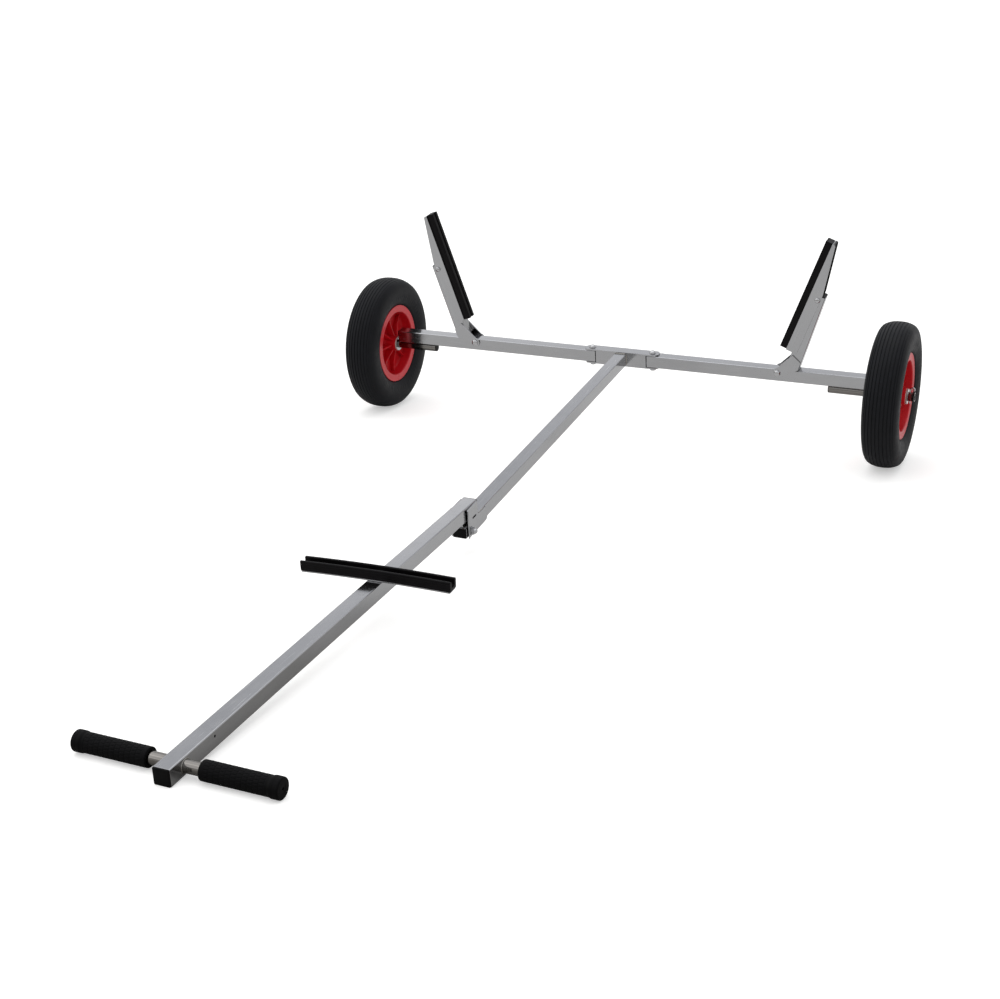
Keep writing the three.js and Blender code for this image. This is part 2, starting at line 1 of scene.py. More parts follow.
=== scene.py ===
"""Folding boat trolley: a crossbar with two wheels and two tilting hull pads, and a drawbar
that folds at a fork and ends in a cross handle.

The axle lies along x. The handle is the front end, towards -y, and z is up. "left" pieces lie
at -x and "right" pieces at +x. Shapes are made in millimetres, in frames read from the CAD
pieces; the scene is in metres.
"""
import json
import math
from collections import namedtuple

import bmesh
import bpy
import numpy as np
from mathutils import Matrix, Vector, noise


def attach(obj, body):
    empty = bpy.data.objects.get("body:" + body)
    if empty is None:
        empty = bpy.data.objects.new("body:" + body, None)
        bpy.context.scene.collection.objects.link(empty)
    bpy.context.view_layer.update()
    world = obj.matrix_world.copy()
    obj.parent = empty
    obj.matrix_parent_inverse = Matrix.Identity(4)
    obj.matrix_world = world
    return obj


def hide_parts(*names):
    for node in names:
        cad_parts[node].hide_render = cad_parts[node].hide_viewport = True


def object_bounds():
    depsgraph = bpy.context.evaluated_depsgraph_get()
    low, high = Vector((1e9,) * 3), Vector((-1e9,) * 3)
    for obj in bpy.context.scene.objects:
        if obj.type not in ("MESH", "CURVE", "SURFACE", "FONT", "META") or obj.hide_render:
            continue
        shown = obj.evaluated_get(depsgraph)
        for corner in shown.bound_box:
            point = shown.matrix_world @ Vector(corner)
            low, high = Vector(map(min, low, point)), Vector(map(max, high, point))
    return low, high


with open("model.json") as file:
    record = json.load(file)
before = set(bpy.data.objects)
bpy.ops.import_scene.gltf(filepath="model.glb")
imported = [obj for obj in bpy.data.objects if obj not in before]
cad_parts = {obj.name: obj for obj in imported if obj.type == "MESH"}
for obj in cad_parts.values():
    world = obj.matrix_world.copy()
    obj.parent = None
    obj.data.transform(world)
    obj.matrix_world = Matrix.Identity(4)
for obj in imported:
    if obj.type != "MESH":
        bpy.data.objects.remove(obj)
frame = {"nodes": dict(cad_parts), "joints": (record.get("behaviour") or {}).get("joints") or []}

CAD_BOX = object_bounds()
SCENE = bpy.context.scene
MM = 0.001
PI = math.pi
NODES = frame["nodes"]
JOINTS = {joint["name"]: joint for joint in frame["joints"]}
SIDES = (("left", -1.0), ("right", 1.0))

Box = namedtuple("Box", "low high")


# ---------------------------------------------------------------- frames of the CAD pieces
def axes(origin, x, y):
    """Frame at origin with the given x axis and its y axis as near y as can be."""
    x = Vector(x).normalized()
    y = (Vector(y) - Vector(y).dot(x) * x).normalized()
    matrix = Matrix((x, y, x.cross(y))).transposed().to_4x4()
    matrix.translation = Vector(origin)
    return matrix


def face_axis(node, hint):
    """Normal of the node's biggest face that looks along hint."""
    hint = Vector(hint).normalized()
    largest, normal = 0.0, None
    for face in NODES[node].data.polygons:
        if face.area > largest and face.normal.dot(hint) > 0.9:
            largest, normal = face.area, face.normal.copy()
    return normal.normalized()


def box_in(node, place):
    """Lowest and highest corner of a node in a frame, in millimetres."""
    inverse = place.inverted()
    points = np.array([(inverse @ v.co)[:] for v in NODES[node].data.vertices], float) / MM
    return Box(points.min(0), points.max(0))


def joint_at(name):
    return JOINTS[name]["pos_m"]


def joint_in(name, place):
    """Joint position in a frame, in metres."""
    return place.inverted() @ Vector(joint_at(name))


POST_LEAN = math.radians(17.4)
X_AXIS = Vector((1, 0, 0))
fold_axis = Vector(JOINTS["crossbar_fold_right"]["axis"])
if fold_axis.z < 0:
    fold_axis = -fold_axis
AXLE = Vector((0, *joint_at("wheel_spin_right")[1:3]))
# Crossbar frame: origin midway on the axle, y rearward, z square to the rear drawbar
CROSS = axes(AXLE, X_AXIS, fold_axis.cross(X_AXIS))
# Front drawbar frame: origin on the fold pivot
DRAWBAR_UP = face_axis("front_drawbar_tube", (0, -0.07, 1))
DRAWBAR = axes(joint_at("drawbar_fold"), X_AXIS, DRAWBAR_UP.cross(X_AXIS))
cross_y, cross_z = CROSS.col[1].to_3d(), CROSS.col[2].to_3d()

# Each side's post and pad carrier, and its wheel tilted with the crossbar and level
POST, CARRIER, WHEEL, WHEEL_LEVEL = {}, {}, {}, {}
for side, sign in SIDES:
    hint = Vector((math.cos(POST_LEAN), 0, 0)) - sign * math.sin(POST_LEAN) * cross_z
    POST[side] = axes(joint_at("support_fold_" + side),
                      face_axis("support_post_" + side, hint), cross_y)
    CARRIER[side] = axes(joint_at("pad_tilt_" + side),
                         face_axis("pad_channel_" + side, hint), cross_y)
    WHEEL[side] = axes(joint_at("wheel_spin_" + side), X_AXIS, cross_y)
    WHEEL_LEVEL[side] = axes(joint_at("wheel_spin_" + side), X_AXIS, (0, 1, 0))


# ---------------------------------------------------------------- meshes, in millimetres
class Shape:
    def __init__(self, points, faces):
        self.points = np.asarray(points, float).reshape(-1, 3)
        self.faces = [tuple(int(i) for i in face) for face in faces]


def to_bmesh(shape):
    bm = bmesh.new()
    verts = [bm.verts.new(point) for point in shape.points.tolist()]
    for face in shape.faces:
        try:
            bm.faces.new([verts[i] for i in face])
        except ValueError:
            # A boolean can give a face twice or repeat a corner; such a face is left out
            pass
    bm.verts.index_update()
    return bm


def from_bmesh(bm):
    bm.verts.index_update()
    shape = Shape([v.co[:] for v in bm.verts], [[v.index for v in f.verts] for f in bm.faces])
    bm.free()
    return shape


def fixed(shape):
    """The shape with all its faces looking outward."""
    bm = to_bmesh(shape)
    bmesh.ops.recalc_face_normals(bm, faces=bm.faces)
    if bm.calc_volume(signed=True) < 0:
        bmesh.ops.reverse_faces(bm, faces=bm.faces)
    return from_bmesh(bm)


def join(*shapes):
    faces, count = [], 0
    for shape in shapes:
        faces += [tuple(i + count for i in face) for face in shape.faces]
        count += len(shape.points)
    return Shape(np.vstack([shape.points for shape in shapes]), faces)


def turned(shape, matrix):
    rows = np.array(matrix, float)
    return Shape(shape.points @ rows[:3, :3].T + rows[:3, 3], shape.faces)


def shifted(shape, x=0, y=0, z=0):
    return Shape(shape.points + np.array([x, y, z], float), shape.faces)


def mirrored(shape):
    return fixed(Shape(shape.points * np.array([-1, 1, 1]), shape.faces))


def to_axis(points, axis):
    """Points given as (along, across, across) put on the x, y or z axis."""
    along, first, second = points[:, 0], points[:, 1], points[:, 2]
    order = {"x": (along, first, second), "y": (first, along, second),
             "z": (first, second, along)}
    return np.stack(order[axis], 1)


def off_axis(axis, centre):
    """Offset that moves a shape on the axis to centre, given on the other two axes."""
    return tuple(np.insert(np.array(centre, float), "xyz".index(axis), 0.0))


def loft(rings, cyclic=False):
    """Closed solid through rings of equal length. Open ends are capped."""
    count, size = len(rings), len(rings[0])
    faces = []
    for i in range(count if cyclic else count - 1):
        this, after = i * size, ((i + 1) % count) * size
        for j in range(size):
            k = (j + 1) % size
            faces.append((this + j, this + k, after + k, after + j))
    if not cyclic:
        faces.append(tuple(range(size))[::-1])
        faces.append(tuple(range((count - 1) * size, count * size)))
    return fixed(Shape(np.vstack(rings), faces))


def round_poly(points, radii, steps=4, closed=True):
    """Flat outline with rounded corners; radii is one radius or one for each point."""
    points = [np.array(point, float) for point in points]
    if not isinstance(radii, (list, tuple)):
        radii = [radii] * len(points)
    rounded = []
    for i, corner in enumerate(points):
        if (not closed and i in (0, len(points) - 1)) or radii[i] <= 0:
            rounded.append(tuple(corner))
            continue
        back, ahead = points[i - 1] - corner, points[(i + 1) % len(points)] - corner
        back_length, ahead_length = np.linalg.norm(back), np.linalg.norm(ahead)
        if back_length < 1e-6 or ahead_length < 1e-6:
            rounded.append(tuple(corner))
            continue
        angle = math.acos(float(np.clip((back @ ahead) / back_length / ahead_length, -1, 1)))
        if angle > PI - 0.02:
            rounded.append(tuple(corner))
            continue
        trim = min(radii[i] / math.tan(angle / 2), 0.49 * back_length, 0.49 * ahead_length)
        back, ahead = back / back_length, ahead / ahead_length
        radius = trim * math.tan(angle / 2)
        middle = (back + ahead) / np.linalg.norm(back + ahead)
        centre = corner + middle * (radius / math.sin(angle / 2))
        start, end = corner + back * trim - centre, corner + ahead * trim - centre
        turn = PI - angle
        for k in range(steps + 1):
            q = k / steps
            arm = (math.sin((1 - q) * turn) * start + math.sin(q * turn) * end) / math.sin(turn)
            rounded.append(tuple(centre + arm))
    return rounded


def rounded_rect(low, high, radius, steps=5):
    corners = [(low[0], low[1]), (high[0], low[1]), (high[0], high[1]), (low[0], high[1])]
    return round_poly(corners, radius, steps)


def spline(points, steps):
    """Smooth curve through flat points, each span cut in steps. The last point is left out."""
    curve = []
    for i in range(len(points) - 1):
        p0, p1, p2 = points[max(i - 1, 0)], points[i], points[i + 1]
        p3 = points[min(i + 2, len(points) - 1)]
        for q in (j / steps for j in range(steps)):
            curve.append(tuple(
                0.5 * (2 * p1[k] + (-p0[k] + p2[k]) * q
                       + (2 * p0[k] - 5 * p1[k] + 4 * p2[k] - p3[k]) * q * q
                       + (-p0[k] + 3 * p1[k] - 3 * p2[k] + p3[k]) * q ** 3)
                for k in (0, 1)))
    return curve


def grown(outline, amount):
    """Outline stretched about its centre so that each side moves out by amount."""
    outline = np.array(outline, float)
    centre = (outline.min(0) + outline.max(0)) / 2
    half = (outline.max(0) - outline.min(0)) / 2
    return centre + (outline - centre) * (half + amount) / half


def ring_at(outline, place, axis, grow=0.0):
    """Flat outline put at a place on the axis."""
    outline = grown(outline, grow) if grow else np.array(outline, float)
    return to_axis(np.column_stack([np.full(len(outline), place), outline]), axis)


def prism(outline, start, end, axis):
    return loft([ring_at(outline, start, axis), ring_at(outline, end, axis)])


def box(low, high):
    (x0, y0, z0), (x1, y1, z1) = low, high
    return prism([(y0, z0), (y1, z0), (y1, z1), (y0, z1)], x0, x1, "x")


def square_tube(axis, low, high, radius=2.6, wall=2.0, cut=0.35):
    """Open tube that fills the box low to high; cut is the chamfer at its ends."""
    along = "xyz".index(axis)
    start, end = low[along], high[along]
    low, high = np.delete(low, along), np.delete(high, along)
    outer = rounded_rect(low, high, radius)
    inner = rounded_rect(low + wall, high - wall, max(radius - wall, 0.7))
    stations = ((outer, start, -cut), (outer, start + cut, 0), (outer, end - cut, 0),
                (outer, end, -cut), (inner, end, cut), (inner, end - cut, 0),
                (inner, start + cut, 0), (inner, start, cut))
    return loft([ring_at(o, place, axis, grow) for o, place, grow in stations], cyclic=True)


def end_plug(axis, bounds, tube_end, out, insert, edge=0.9):
    """Push-in tube plug with ribbed insert; out is +1 or -1, the way its face looks."""
    wall, fit, flange_gap = 2.0, 0.4, 0.3
    along = "xyz".index(axis)
    face = (bounds.high if out > 0 else bounds.low)[along]
    low, high = np.delete(bounds.low, along), np.delete(bounds.high, along)
    back = tube_end + out * flange_gap
    flange = rounded_rect(low, high, 2.8)
    core = rounded_rect(low + wall + fit, high - wall - fit, 1.2)
    middle = rounded_rect(low + 7, high - 7, 2.0)
    # outline, place on the axis, growth
    stations = [
        (middle, face, 0), (flange, face - out * 0.12, -edge * 1.6),
        (flange, face - out * edge * 0.4, -edge * 0.45), (flange, face - out * edge, 0),
        (flange, back + out * 0.2, 0), (flange, back, -0.25), (core, back, 0),
    ]
    # share of the insert, growth
    ribs = ((0.3, 0.25), (0.34, -0.3), (0.62, 0.25), (0.66, -0.3), (1, -0.6))
    stations += [(core, back - out * insert * share, grow) for share, grow in ribs]
    return loft([ring_at(o, place, axis, grow) for o, place, grow in stations])


def lathe(profile, segments, axis="x", offset=(0, 0, 0), relief=None):
    """Profile of (radius, along). It starts and ends on the axis, or its last point repeats
    its first. relief(index, along, angle, radius) gives a changed (radius, along)."""
    profile = [tuple(point) for point in profile]
    ring = np.hypot(profile[0][0] - profile[-1][0], profile[0][1] - profile[-1][1]) < 1e-9
    if ring:
        profile = profile[:-1]
    angles = np.arange(segments) * 2 * PI / segments
    points, rows = [], []
    for k, (radius, along) in enumerate(profile):
        if radius < 1e-6:
            rows.append([len(points)] * segments)
            points.append((along, 0.0, 0.0))
            continue
        row = []
        for a in angles:
            r, h = relief(k, along, a, radius) if relief else (radius, along)
            row.append(len(points))
            points.append((h, r * math.cos(a), r * math.sin(a)))
        rows.append(row)
    faces = []
    for i in range(len(profile) if ring else len(profile) - 1):
        this, after = rows[i], rows[(i + 1) % len(profile)]
        for j in range(segments):
            k = (j + 1) % segments
            face = tuple(dict.fromkeys((this[j], this[k], after[k], after[j])))
            if len(face) > 2:
                faces.append(face)
    return shifted(fixed(Shape(to_axis(np.array(points, float), axis), faces)), *offset)


def rod(axis, radius, start, end, centre=(0, 0), segments=32, edge=0.0):
    if edge:
        profile = [(0, start), (radius - edge, start), (radius, start + edge),
                   (radius, end - edge), (radius - edge, end), (0, end)]
    else:
        profile = [(0, start), (radius, start), (radius, end), (0, end)]
    return lathe(profile, segments, axis, off_axis(axis, centre))


def round_tube(radius, wall, start, end, edge, segments, offset=(0, 0, 0)):
    """Tube along x with chamfered outer edges."""
    bore = radius - wall
    profile = [(bore, start), (radius - edge, start), (radius, start + edge),
               (radius, end - edge), (radius - edge, end), (bore, end), (bore, start)]
    return lathe(profile, segments, "x", offset)


def tube_path(points, radii, segments):
    """Round bar along a polyline with one radius for each point."""
    points = [Vector(point) for point in points]
    last = len(points) - 1
    ways = [(points[min(i + 1, last)] - points[max(i - 1, 0)]).normalized()
            for i in range(last + 1)]
    up = Vector((0, 0, 1)) if abs(ways[0].z) < 0.9 else Vector((1, 0, 0))
    normal = (up - up.dot(ways[0]) * ways[0]).normalized()
    rings = []
    for point, way, radius in zip(points, ways, radii):
        normal = (normal - normal.dot(way) * way).normalized()
        across = way.cross(normal)
        rings.append(np.array([
            (point + radius * (math.cos(a) * normal + math.sin(a) * across))[:]
            for a in np.arange(segments) * 2 * PI / segments]))
    return loft(rings)


def weld(points, radius, pitch=1.7, seed=1, taper=True):
    """Weld bead: a ridge of overlapping scales along a polyline."""
    points = [Vector(point) for point in points]
    reach = [0.0]
    for a, b in zip(points, points[1:]):
        reach.append(reach[-1] + (b - a).length)
    length = reach[-1]
    count = max(int(length / pitch * 5), 10)
    path, radii = [], []
    for step in range(count + 1):
        d = step / count * length
        i = 1
        while i < len(reach) - 1 and reach[i] < d:
            i += 1
        part = (d - reach[i - 1]) / max(reach[i] - reach[i - 1], 1e-9)
        scale = (d / pitch) % 1.0
        wobble = noise.noise(Vector((d * 0.11, seed * 3.7, 0.3)))
        end = 1.0
        if taper:
            end = min(1.0, math.sqrt(max(0.02, min(d, length - d) / (radius * 1.2))))
        radii.append(radius * end * (0.86 + 0.14 * (1 - scale) ** 0.7 + 0.1 * wobble))
        place = points[i - 1].lerp(points[i], min(max(part, 0), 1))
        path.append(place + Vector((0, 0, 0.12 * wobble)))
    return tube_path(path, radii, 10)


def temp_object(shape):
    mesh = bpy.data.meshes.new("tmp")
    mesh.from_pydata(shape.points.tolist(), [], shape.faces)
    mesh.update()
    obj = bpy.data.objects.new("tmp", mesh)
    SCENE.collection.objects.link(obj)
    return obj


def boolean(shape, operation, *tools):
    """Exact join or cut of closed meshes."""
    for tool in tools:
        # The manifold solver gives nothing for an open mesh; the exact one then takes over
        for solver in ("MANIFOLD", "EXACT"):
            target, cutter = temp_object(shape), temp_object(tool)
            modifier = target.modifiers.new("b", "BOOLEAN")
            modifier.operation, modifier.object = operation, cutter
            modifier.solver = solver
            graph = bpy.context.evaluated_depsgraph_get()
            mesh = bpy.data.meshes.new_from_object(target.evaluated_get(graph))
            points = np.empty(len(mesh.vertices) * 3)
            mesh.vertices.foreach_get("co", points)
            result = Shape(points, [tuple(face.vertices) for face in mesh.polygons])
            for obj in (target, cutter):
                data = obj.data
                bpy.data.objects.remove(obj)
                bpy.data.meshes.remove(data)
            bpy.data.meshes.remove(mesh)
            if result.faces:
                break
        shape = result
    return shape


def union(*shapes):
    return boolean(shapes[0], "UNION", *shapes[1:])


def minus(shape, *tools):
    return boolean(shape, "DIFFERENCE", *tools)


def both(shape, *tools):
    return boolean(shape, "INTERSECT", *tools)


def bevel(shape, width, segments=2, angle=40.0, pick=None):
    """Rounds every edge sharper than angle, or those of them that pick(edge) allows."""
    bm = to_bmesh(shape)
    bmesh.ops.remove_doubles(bm, verts=bm.verts, dist=2e-3)
    bmesh.ops.dissolve_limit(bm, angle_limit=math.radians(0.4), verts=bm.verts, edges=bm.edges)
    bm = to_bmesh(from_bmesh(bm))
    bm.normal_update()
    edges = [e for e in bm.edges
             if len(e.link_faces) == 2 and e.calc_face_angle(0) > math.radians(angle)
             and (pick is None or pick(e))]
    if edges:
        bmesh.ops.bevel(bm, geom=edges, offset=width, segments=segments, profile=0.5,
                        affect="EDGES", clamp_overlap=False)
    return from_bmesh(bm)


def piece(name, shape, place, body, finish, replaces=None, sharp=32.0):
    """Adds a finished object. finish is (material, slot), and the slot is not used; sharp is an
    angle in degrees.
    """
    mesh = bpy.data.meshes.new(name)
    mesh.from_pydata((shape.points * MM).tolist(), [], shape.faces)
    mesh.validate()
    mesh.update()
    bm = bmesh.new()
    bm.from_mesh(mesh)
    loose = [v for v in bm.verts if not v.link_faces]
    if loose:
        bmesh.ops.delete(bm, geom=loose, context="VERTS")
    bm.to_mesh(mesh)
    bm.free()
    mesh.polygons.foreach_set("use_smooth", [True] * len(mesh.polygons))
    mesh.set_sharp_from_angle(angle=math.radians(sharp))
    material, slot = finish
    mesh.materials.append(material)
    obj = bpy.data.objects.new(name, mesh)
    SCENE.collection.objects.link(obj)
    obj.matrix_world = place
    normals = obj.modifiers.new("weighted_normal", "WEIGHTED_NORMAL")
    normals.keep_sharp = True
    normals.mode = "FACE_AREA"
    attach(obj, body)
    if replaces:
        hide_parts(replaces)


# ---------------------------------------------------------------- materials
class Shader:
    """Node tree of a material or world, with short ways to add nodes."""

    def __init__(self, owner, surface="Principled BSDF"):
        owner.use_nodes = True
        self.owner = owner
        self.tree = owner.node_tree
        self.surface = self.tree.nodes[surface]
        self.coords = self.node("ShaderNodeTexCoord").outputs

    def feed(self, socket, value):
        """Links an output to the socket, or sets its value; colours are given as RGB."""
        if isinstance(value, bpy.types.NodeSocket):
            self.tree.links.new(value, socket)
        else:
            socket.default_value = (*value, 1.0) if socket.type == "RGBA" else value

    def feed_all(self, node, inputs):
        for key, value in inputs.items():
            self.feed(node.inputs[key], value)

    def node(self, kind, inputs=None, **settings):
        node = self.tree.nodes.new(kind)
        for key, value in settings.items():
            setattr(node, key, value)
        self.feed_all(node, inputs or {})
        return node

    def set_surface(self, inputs):
        self.feed_all(self.surface, inputs)

    def noise(self, scale, detail=3.0, rough=0.55, stretch=(1, 1, 1), distortion=0.0,
              turn=(0, 0, 0)):
        mapping = self.node("ShaderNodeMapping", {
            "Scale": stretch, "Rotation": turn, "Vector": self.coords["Object"]})
        return self.node("ShaderNodeTexNoise", {
            "Scale": scale, "Detail": detail, "Roughness": rough, "Distortion": distortion,
            "Vector": mapping.outputs["Vector"]}).outputs["Fac"]

    def remap(self, value, span=(0.3, 0.7), to=(0, 1)):
        return self.node("ShaderNodeMapRange", {
            "From Min": span[0], "From Max": span[1], "To Min": to[0], "To Max": to[1],
            "Value": value}, clamp=True).outputs["Result"]

    def math(self, operation, a, b=0.0):
        return self.node("ShaderNodeMath", {0: a, 1: b}, operation=operation).outputs[0]

    def mix(self, factor, a, b):
        return self.node("ShaderNodeMix", {0: factor, 6: a, 7: b}, data_type="RGBA").outputs[2]

    def bump(self, height, strength, distance):
        node = self.node("ShaderNodeBump", {
            "Strength": strength, "Distance": distance, "Height": height})
        self.set_surface({"Normal": node.outputs["Normal"]})


def new_material(name):
    return Shader(bpy.data.materials.new(name))


def scaled(colour, *factors):
    """Colour times one factor, or one for each channel."""
    return tuple(c * k for c, k in zip(colour, factors * 3))


def steel(name, axis=None, base=(0.40, 0.402, 0.408), rough=(0.11, 0.17), grain=0.5, warm=0.0):
    """Steel brushed along the axis, or evenly grained, with smudges and fine scratches."""
    m = new_material(name)
    m.set_surface({"Metallic": 1.0})
    stretch = tuple(0.006 if letter == axis else 1.0 for letter in "xyz")
    scratch_stretch = tuple(0.006 * 3.0 if letter == axis else 1.0 for letter in "xyz")
    coarse = m.noise(scale=2400 if axis else 700, detail=3.0, rough=0.6, stretch=stretch)
    fine = m.noise(scale=800, detail=2.0, rough=0.5, stretch=stretch)
    patch = m.noise(scale=6.0, detail=4.0, rough=0.6)
    smudge = m.noise(scale=27, detail=5.0, rough=0.65, distortion=0.6)
    lines = m.noise(scale=620, detail=1.0, rough=0.4, stretch=scratch_stretch,
                    turn=(0.05, 0.04, 0.06))
    scratch = m.remap(lines, span=(0.69, 0.72), to=(0.0, 1.0))
    light = m.math("ADD", m.remap(coarse, to=(-0.06, 0.06)), m.remap(patch, to=(-0.08, 0.08)))
    factor = m.math("ADD", 0.5, m.math("MULTIPLY", light, 4.0))
    colour = m.mix(factor, scaled(base, 0.95), scaled(base, 1.05))
    stain = m.remap(smudge, span=(0.55, 0.75), to=(0.0, 0.14 + warm))
    colour = m.mix(stain, colour, scaled(base, 0.88, 0.85, 0.80))
    colour = m.mix(m.math("MULTIPLY", scratch, 0.5), colour, scaled(base, 1.25))
    roughness = m.math("ADD", m.remap(fine, to=rough),
                       m.remap(smudge, span=(0.4, 0.7), to=(-0.015, 0.045)))
    roughness = m.math("ADD", roughness, m.math("MULTIPLY", scratch, 0.10))
    m.set_surface({"Base Color": colour, "Roughness": roughness})
    height = m.math("ADD", m.math("MULTIPLY", coarse, 0.8), m.math("MULTIPLY", fine, 0.4))
    m.bump(height, strength=0.035 * grain, distance=0.0003)
    return m.owner


def rubber(name, base, rough, fine=900, strength=0.25, dust=0.1, specular=0.42):
    """Dark rubber with worn clouds and specks of dust."""
    m = new_material(name)
    pores = m.noise(scale=fine, detail=2.0, rough=0.6)
    wear = m.noise(scale=46, detail=5.0, rough=0.62, distortion=0.4)
    patch = m.noise(scale=9, detail=3.0, rough=0.6)
    grit = m.noise(scale=2600, detail=1.0, rough=0.5)
    colour = m.mix(m.remap(wear, span=(0.35, 0.7)), scaled(base, 0.72), scaled(base, 1.35))
    specks = m.math("MULTIPLY", m.remap(patch, span=(0.45, 0.72)),
                    m.remap(pores, span=(0.45, 0.62), to=(0, dust)))
    colour = m.mix(specks, colour, tuple(c * 2.6 + 0.003 for c in base))
    roughness = m.math("ADD", m.remap(wear, to=rough), m.remap(patch, to=(-0.05, 0.05)))
    m.set_surface({"Base Color": colour, "Roughness": roughness,
                   "Specular IOR Level": specular})
    m.bump(m.math("ADD", pores, m.math("MULTIPLY", grit, 0.5)), strength, distance=0.0004)
    return m.owner


def plastic(name, base, rough, fine=520, specular=0.5):
    """Moulded plastic with faint clouds."""
    m = new_material(name)
    grain = m.noise(scale=fine, detail=3.0, rough=0.55)
    cloud = m.noise(scale=18, detail=4.0, rough=0.6, distortion=0.3)
    speck = m.noise(scale=120, detail=2.0, rough=0.5)
    colour = m.mix(m.remap(cloud), scaled(base, 0.88), scaled(base, 1.14))
    colour = m.mix(m.remap(speck, span=(0.6, 0.8), to=(0, 0.25)), colour, base)
    roughness = m.math("ADD", m.remap(cloud, to=rough), m.remap(grain, to=(-0.03, 0.03)))
    m.set_surface({"Base Color": colour, "Roughness": roughness,
                   "Specular IOR Level": specular, "Coat Weight": 0.0, "Coat Roughness": 0.25})
    m.bump(grain, strength=0.12, distance=0.0003)
    return m.owner


def rim_plastic(name, base, lip):
    """Moulded red: the bowl is plain; the rolled lip gets a painted sheen, a lighter red with
    darker scuffs, and is shinier.
    """
    m = new_material(name)
    place = m.node("ShaderNodeSeparateXYZ", {0: m.coords["Object"]}).outputs
    radius = m.math("SQRT", m.math("ADD", m.math("POWER", place["Y"], 2.0),
                                   m.math("POWER", place["Z"], 2.0)))
    # The lip lies beyond this radius and this distance from the wheel's middle, in metres
    edge = m.math("MULTIPLY", m.remap(radius, span=(0.0968, 0.0988)),
                  m.remap(m.math("ABSOLUTE", place["X"]), span=(0.0335, 0.0355)))
    grain = m.noise(scale=420, detail=3.0, rough=0.55)
    cloud = m.noise(scale=16, detail=4.0, rough=0.6, distortion=0.3)
    speck = m.noise(scale=140, detail=2.0, rough=0.5)
    colour = m.mix(m.remap(cloud), scaled(base, 0.9), scaled(base, 1.1))
    # painted sheen: the lip is mixed towards the lighter lip colour, standing in for its
    # highlight; the darker specks are real scuffs
    scuffed_lip_sheen = m.mix(m.remap(speck, span=(0.45, 0.75)), lip, scaled(lip, 0.9, 0.62, 0.62))
    lip_sheen_mask = m.math("MULTIPLY", edge, m.remap(cloud, span=(0.35, 0.65), to=(0.72, 1.0)))
    m.set_surface({"Base Color": m.mix(lip_sheen_mask, colour, scuffed_lip_sheen)})
    roughness = m.math("ADD", m.remap(cloud, to=(0.34, 0.46)),
                       m.remap(grain, to=(-0.03, 0.03)))
    m.set_surface({
        "Roughness": m.math("SUBTRACT", roughness, m.math("MULTIPLY", edge, 0.08)),
        "Specular IOR Level": m.math("ADD", 0.22, m.math("MULTIPLY", edge, 0.16))})
    m.bump(grain, strength=0.1, distance=0.0003)
    return m.owner


# Finishes: material and slot
STEEL = {axis: (steel("satin_steel_" + axis, axis), "stainless_tube") for axis in "xyz"}
SHEET = steel("satin_steel_sheet", rough=(0.13, 0.2), grain=0.6), "stainless_tube"
BRIGHT = steel("polished_fastener", base=(0.47, 0.47, 0.475), rough=(0.07, 0.12),
               grain=0.35), "polished_steel"
# painted reflection: the polished tubes' base colour is darkened and warmed to stand in for the
# dark surroundings they reflect
CHROME = steel("polished_tube", "x", base=(0.2, 0.19, 0.178), rough=(0.06, 0.1),
               grain=0.3), "polished_steel"
BEAD = steel("weld_bead", base=(0.33, 0.315, 0.29), rough=(0.2, 0.34), grain=1.6,
             warm=0.3), "stainless_tube"
TYRE = rubber("tyre_rubber_worn", base=(0.0046, 0.0050, 0.0064), rough=(0.46, 0.6),
              strength=0.18, dust=0.25, specular=0.15), "tyre_rubber"
GRIP = rubber("grip_rubber_matte", base=(0.0021, 0.0021, 0.0023), rough=(0.42, 0.55),
              fine=1400, strength=0.24, specular=0.06), "grip_rubber"
PAD = rubber("pad_rubber_extruded", base=(0.0034, 0.0028, 0.0032), rough=(0.34, 0.48),
             fine=1100, strength=0.14, specular=0.1), "grip_rubber"
PLUG = plastic("moulded_black_plastic", base=(0.0022, 0.0022, 0.0024), rough=(0.28, 0.42),
               fine=900, specular=0.08), "black_plastic"
# The lighter lip colour is a painted sheen on the rim's rolled lip
RED = rim_plastic("moulded_red_plastic", base=(0.465, 0.0036, 0.0085),
                  lip=(0.56, 0.018, 0.027)), "rim_plastic"
NYLON = plastic("bush_nylon_plain", base=(0.6, 0.58, 0.53), rough=(0.4, 0.55),
                fine=600), "bush_nylon"
# Spare brass in the material set; no piece wears it
steel("valve_brass", base=(0.62, 0.5, 0.3), rough=(0.2, 0.3), grain=0.6)

# ---------------------------------------------------------------- fasteners
# Radii of the two bolt sizes, their clearance holes, and the larger one's nut and washers
BOLT, BOLT_HOLE = 4.95, 5.4
SMALL_BOLT, SMALL_HOLE = 3.95, 4.4
NUT, NUT_BORE = 9.2, 5.1
WASHER_BORE, HEAD_WASHER, NUT_WASHER = 5.2, 10.6, 10.4


def drill(axis, reach, centre=(0, 0), radius=BOLT_HOLE, segments=36):
    """Cutter for a hole through everything within reach of the frame's origin."""
    return rod(axis, radius, -reach, reach, centre, segments)


def quarter_dome(radius, base, height, steps):
    """Profile of a dome from its rim at base to its top on the axis."""
    arc = [(radius * math.cos(k / steps * PI / 2), base + height * math.sin(k / steps * PI / 2))
           for k in range(steps + 1)]
    arc[-1] = (0, base + height)
    return arc


def dome_head(axis, radius, base, height, out, centre=(0, 0), segments=48):
    """Domed bolt head on the plane at base; out is +1 or -1, the way it rises."""
    flat = height * 0.24
    profile = [(0, 0), (radius * 0.96, 0), (radius, flat * 0.4), (radius, flat * 0.85)]
    profile += quarter_dome(radius * 0.97, flat, height - flat, 10)
    return lathe([(r, base + out * h) for r, h in profile], segments, axis,
                 off_axis(axis, centre))


